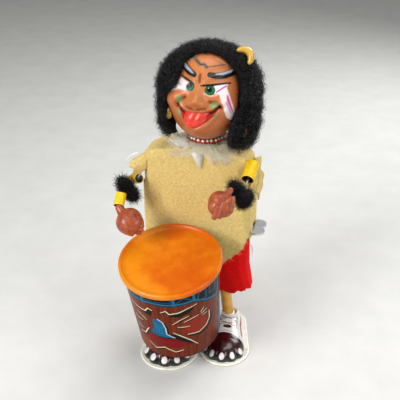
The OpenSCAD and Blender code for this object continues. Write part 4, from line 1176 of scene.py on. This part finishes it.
# The bent wire that each arm is strung on
WIRES = {RIGHT: [(-43, 4, 139), (-41.8, -8, 130.5), (-45, -9.5, 127), (-50.4, -9, 123.8), (-50.4, -25, 123.6),
                 (-50.6, -32, 117.6), (-48, -35, 114)],
         LEFT: [(37.5, 4, 139), (36.4, -3, 141.4), (34.8, -12, 138.2), (33, -19, 133.5), (31, -24, 132),
                (24, -33, 131)]}
# Balls of the palm, both ends of the thumb with their radii, and both ends and the radius of each finger,
# all to the right, up and towards the viewer from the hand's middle
FISTS = {RIGHT: ([((0, 0.2, 0), 8.6), ((-1.2, -1.2, 0.5), 8.3), ((2.2, -1.8, 1), 7.4)],
                 ((-4.5, 4, 0), (-7.2, 8.6, -0.5), 3.6, 2.8),
                 [((1.5, -7.2, 3.6), (6.6, -8.4, 2.2), 1.5), ((2.6, -5.4, 5.4), (8.2, -6.2, 3.6), 1.5),
                  ((-2.6, -8, 3.2), (1.6, -9.3, 2.2), 1.4), ((3.6, -3, 6.2), (8.6, -3.6, 4), 1.5)]),
         LEFT: ([((-0.6, 0.8, -0.5), 7.6), ((-1.6, -1.6, 0.5), 7), ((1.8, -2.4, 0), 6.8)],
                ((3, 4.6, 2.8), (5.9, 8.4, 2.6), 2.5, 2.2),
                [((7.2, 2.6, 3.8), (6, -4.6, 4), 2.15), ((4.6, 1.4, 6.6), (2.6, -6.6, 6), 2.15),
                 ((1.4, -0.4, 7.8), (-0.9, -8, 6.2), 2.1), ((-2.1, -2.4, 7.6), (-4.3, -8.8, 5.4), 1.9)])}


def make_tube(name, which, a, b, size):
    """A yellow tube with a dark lining and slightly uneven ends."""
    a, b = np.asarray(a, float), np.asarray(b, float)
    along = unit(b - a)
    across = unit(np.cross(along, [0.3, 0.1, 1]))
    turn = around(56)
    stops = [0, 0.02, 0.2, 0.4, 0.6, 0.8, 0.98, 1]
    outer = [size * r for r in (0.96, 1, 1, 0.99, 0.99, 1, 1.02, 0.97)]
    # Down the outside and back along the inside, and on to the first row again
    share = np.array(stops + stops[::-1])[:, None]
    radius = np.array(outer + [r - 0.5 for r in outer[::-1]])[:, None] * (1 + 0.05 * np.cos(2 * turn))
    uneven = 0.35 * np.sin(turn * 2 + 1) * (share - 0.5)
    points = (a + (b - a) * share[..., None] + spin(turn, across, np.cross(along, across)) * radius[..., None]
              + along * uneven[..., None])
    paint = np.repeat([(1, 1, 1), (0.26, 0.07, 0.06)], len(stops) * turn.size, axis=0)
    faces = grid_faces(len(share) + 1, turn.size) % (share.size * turn.size)
    tube = new_piece(f"{name}_{which}_tube", points, name + "_arm", SLEEVE_PAINT,
                     faces, paint)
    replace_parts(tube, f"{name}_{which}_sleeve")


def make_cuff(name, side):
    """A fluffy pad of black fur round the elbow."""
    rng = np.random.default_rng(40 + side)
    pads = PADS[side]
    blobs = [ball for (a, r1), (b, r2) in zip(pads[:-1], pads[1:]) for ball in capsule(a, b, r1, r2)]
    core = fused(name + "_cuff_pad", blobs, 0.7, 3, name + "_arm", BLACK_MAT)
    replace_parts(core, name + "_fur_cuff")
    n = 3600
    direction = unit(rng.normal(size=(n, 3)))
    centres = np.array([middle for middle, _ in blobs])
    roots = centres[rng.integers(0, len(centres), n)] + direction * 3.4
    paths = curls(rng, roots, direction, 0.1, (0.4, 3.8), (0.3, 0.8), (0.4, 1.3), spread=0.6)
    strands(name + "_cuff_fur", paths, rng.uniform(0.09, 0.16, n), name + "_arm", BLACK_CURL_AND_GLINTS)


def make_wire(name, side):
    """The arm's wire as a smooth bent rod, with seven points between its bends."""
    bends = np.array(WIRES[side], float)
    fine = np.linspace(0, len(bends) - 1, (len(bends) - 1) * 8 + 1)
    path = np.stack([np.interp(fine, np.arange(len(bends)), bends[:, k]) for k in range(3)], -1)
    for _ in range(6):
        path[1:-1] = (path[:-2] + 2 * path[1:-1] + path[2:]) / 4
    wire = strands(name + "_wire", path[None], [0.9], name + "_arm", STEEL, 12, 1)
    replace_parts(wire, name + "_arm_wire")


def make_fist(name, side):
    palm, (thumb, thumb_tip, *thumb_radii), fingers = FISTS[side]
    at = lambda place: seen(HANDS[side], *place)
    blobs = [(at(place), r) for place, r in palm] + capsule(at(thumb), at(thumb_tip), *thumb_radii)
    for root, tip, r in fingers:
        blobs += capsule(at(root), at(tip), r, r, 9)
    fist = fused(name + "_fist", blobs, 0.3, 3, name + "_arm", FIST)
    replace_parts(fist, name + "_hand")


for arm, arm_name in ((RIGHT, "right"), (LEFT, "left")):
    for which, tube in zip(("upper", "lower"), TUBES[arm]):
        make_tube(arm_name, which, *tube)
    for make in (make_cuff, make_wire, make_fist):
        make(arm_name, arm)


# ---- CAD parts that keep their shape ----
FINISHES = {"steel": STEEL, "key_steel": KEY_STEEL, "spring_steel": SPRING, "brass": BRASS,
            "yellow_tin": YELLOW_TIN, "drum_orange": DRUM_ORANGE_AND_HIGHLIGHTS, "drum_litho": LINING}
for part in frame["record"]["subparts"]:
    obj = bpy.data.objects.get(part["node"])
    made = FINISHES.get(part["material_slot"])
    if obj is not None and made is not None and not obj.hide_render:
        obj.data.materials.clear()
        obj.data.materials.append(made)
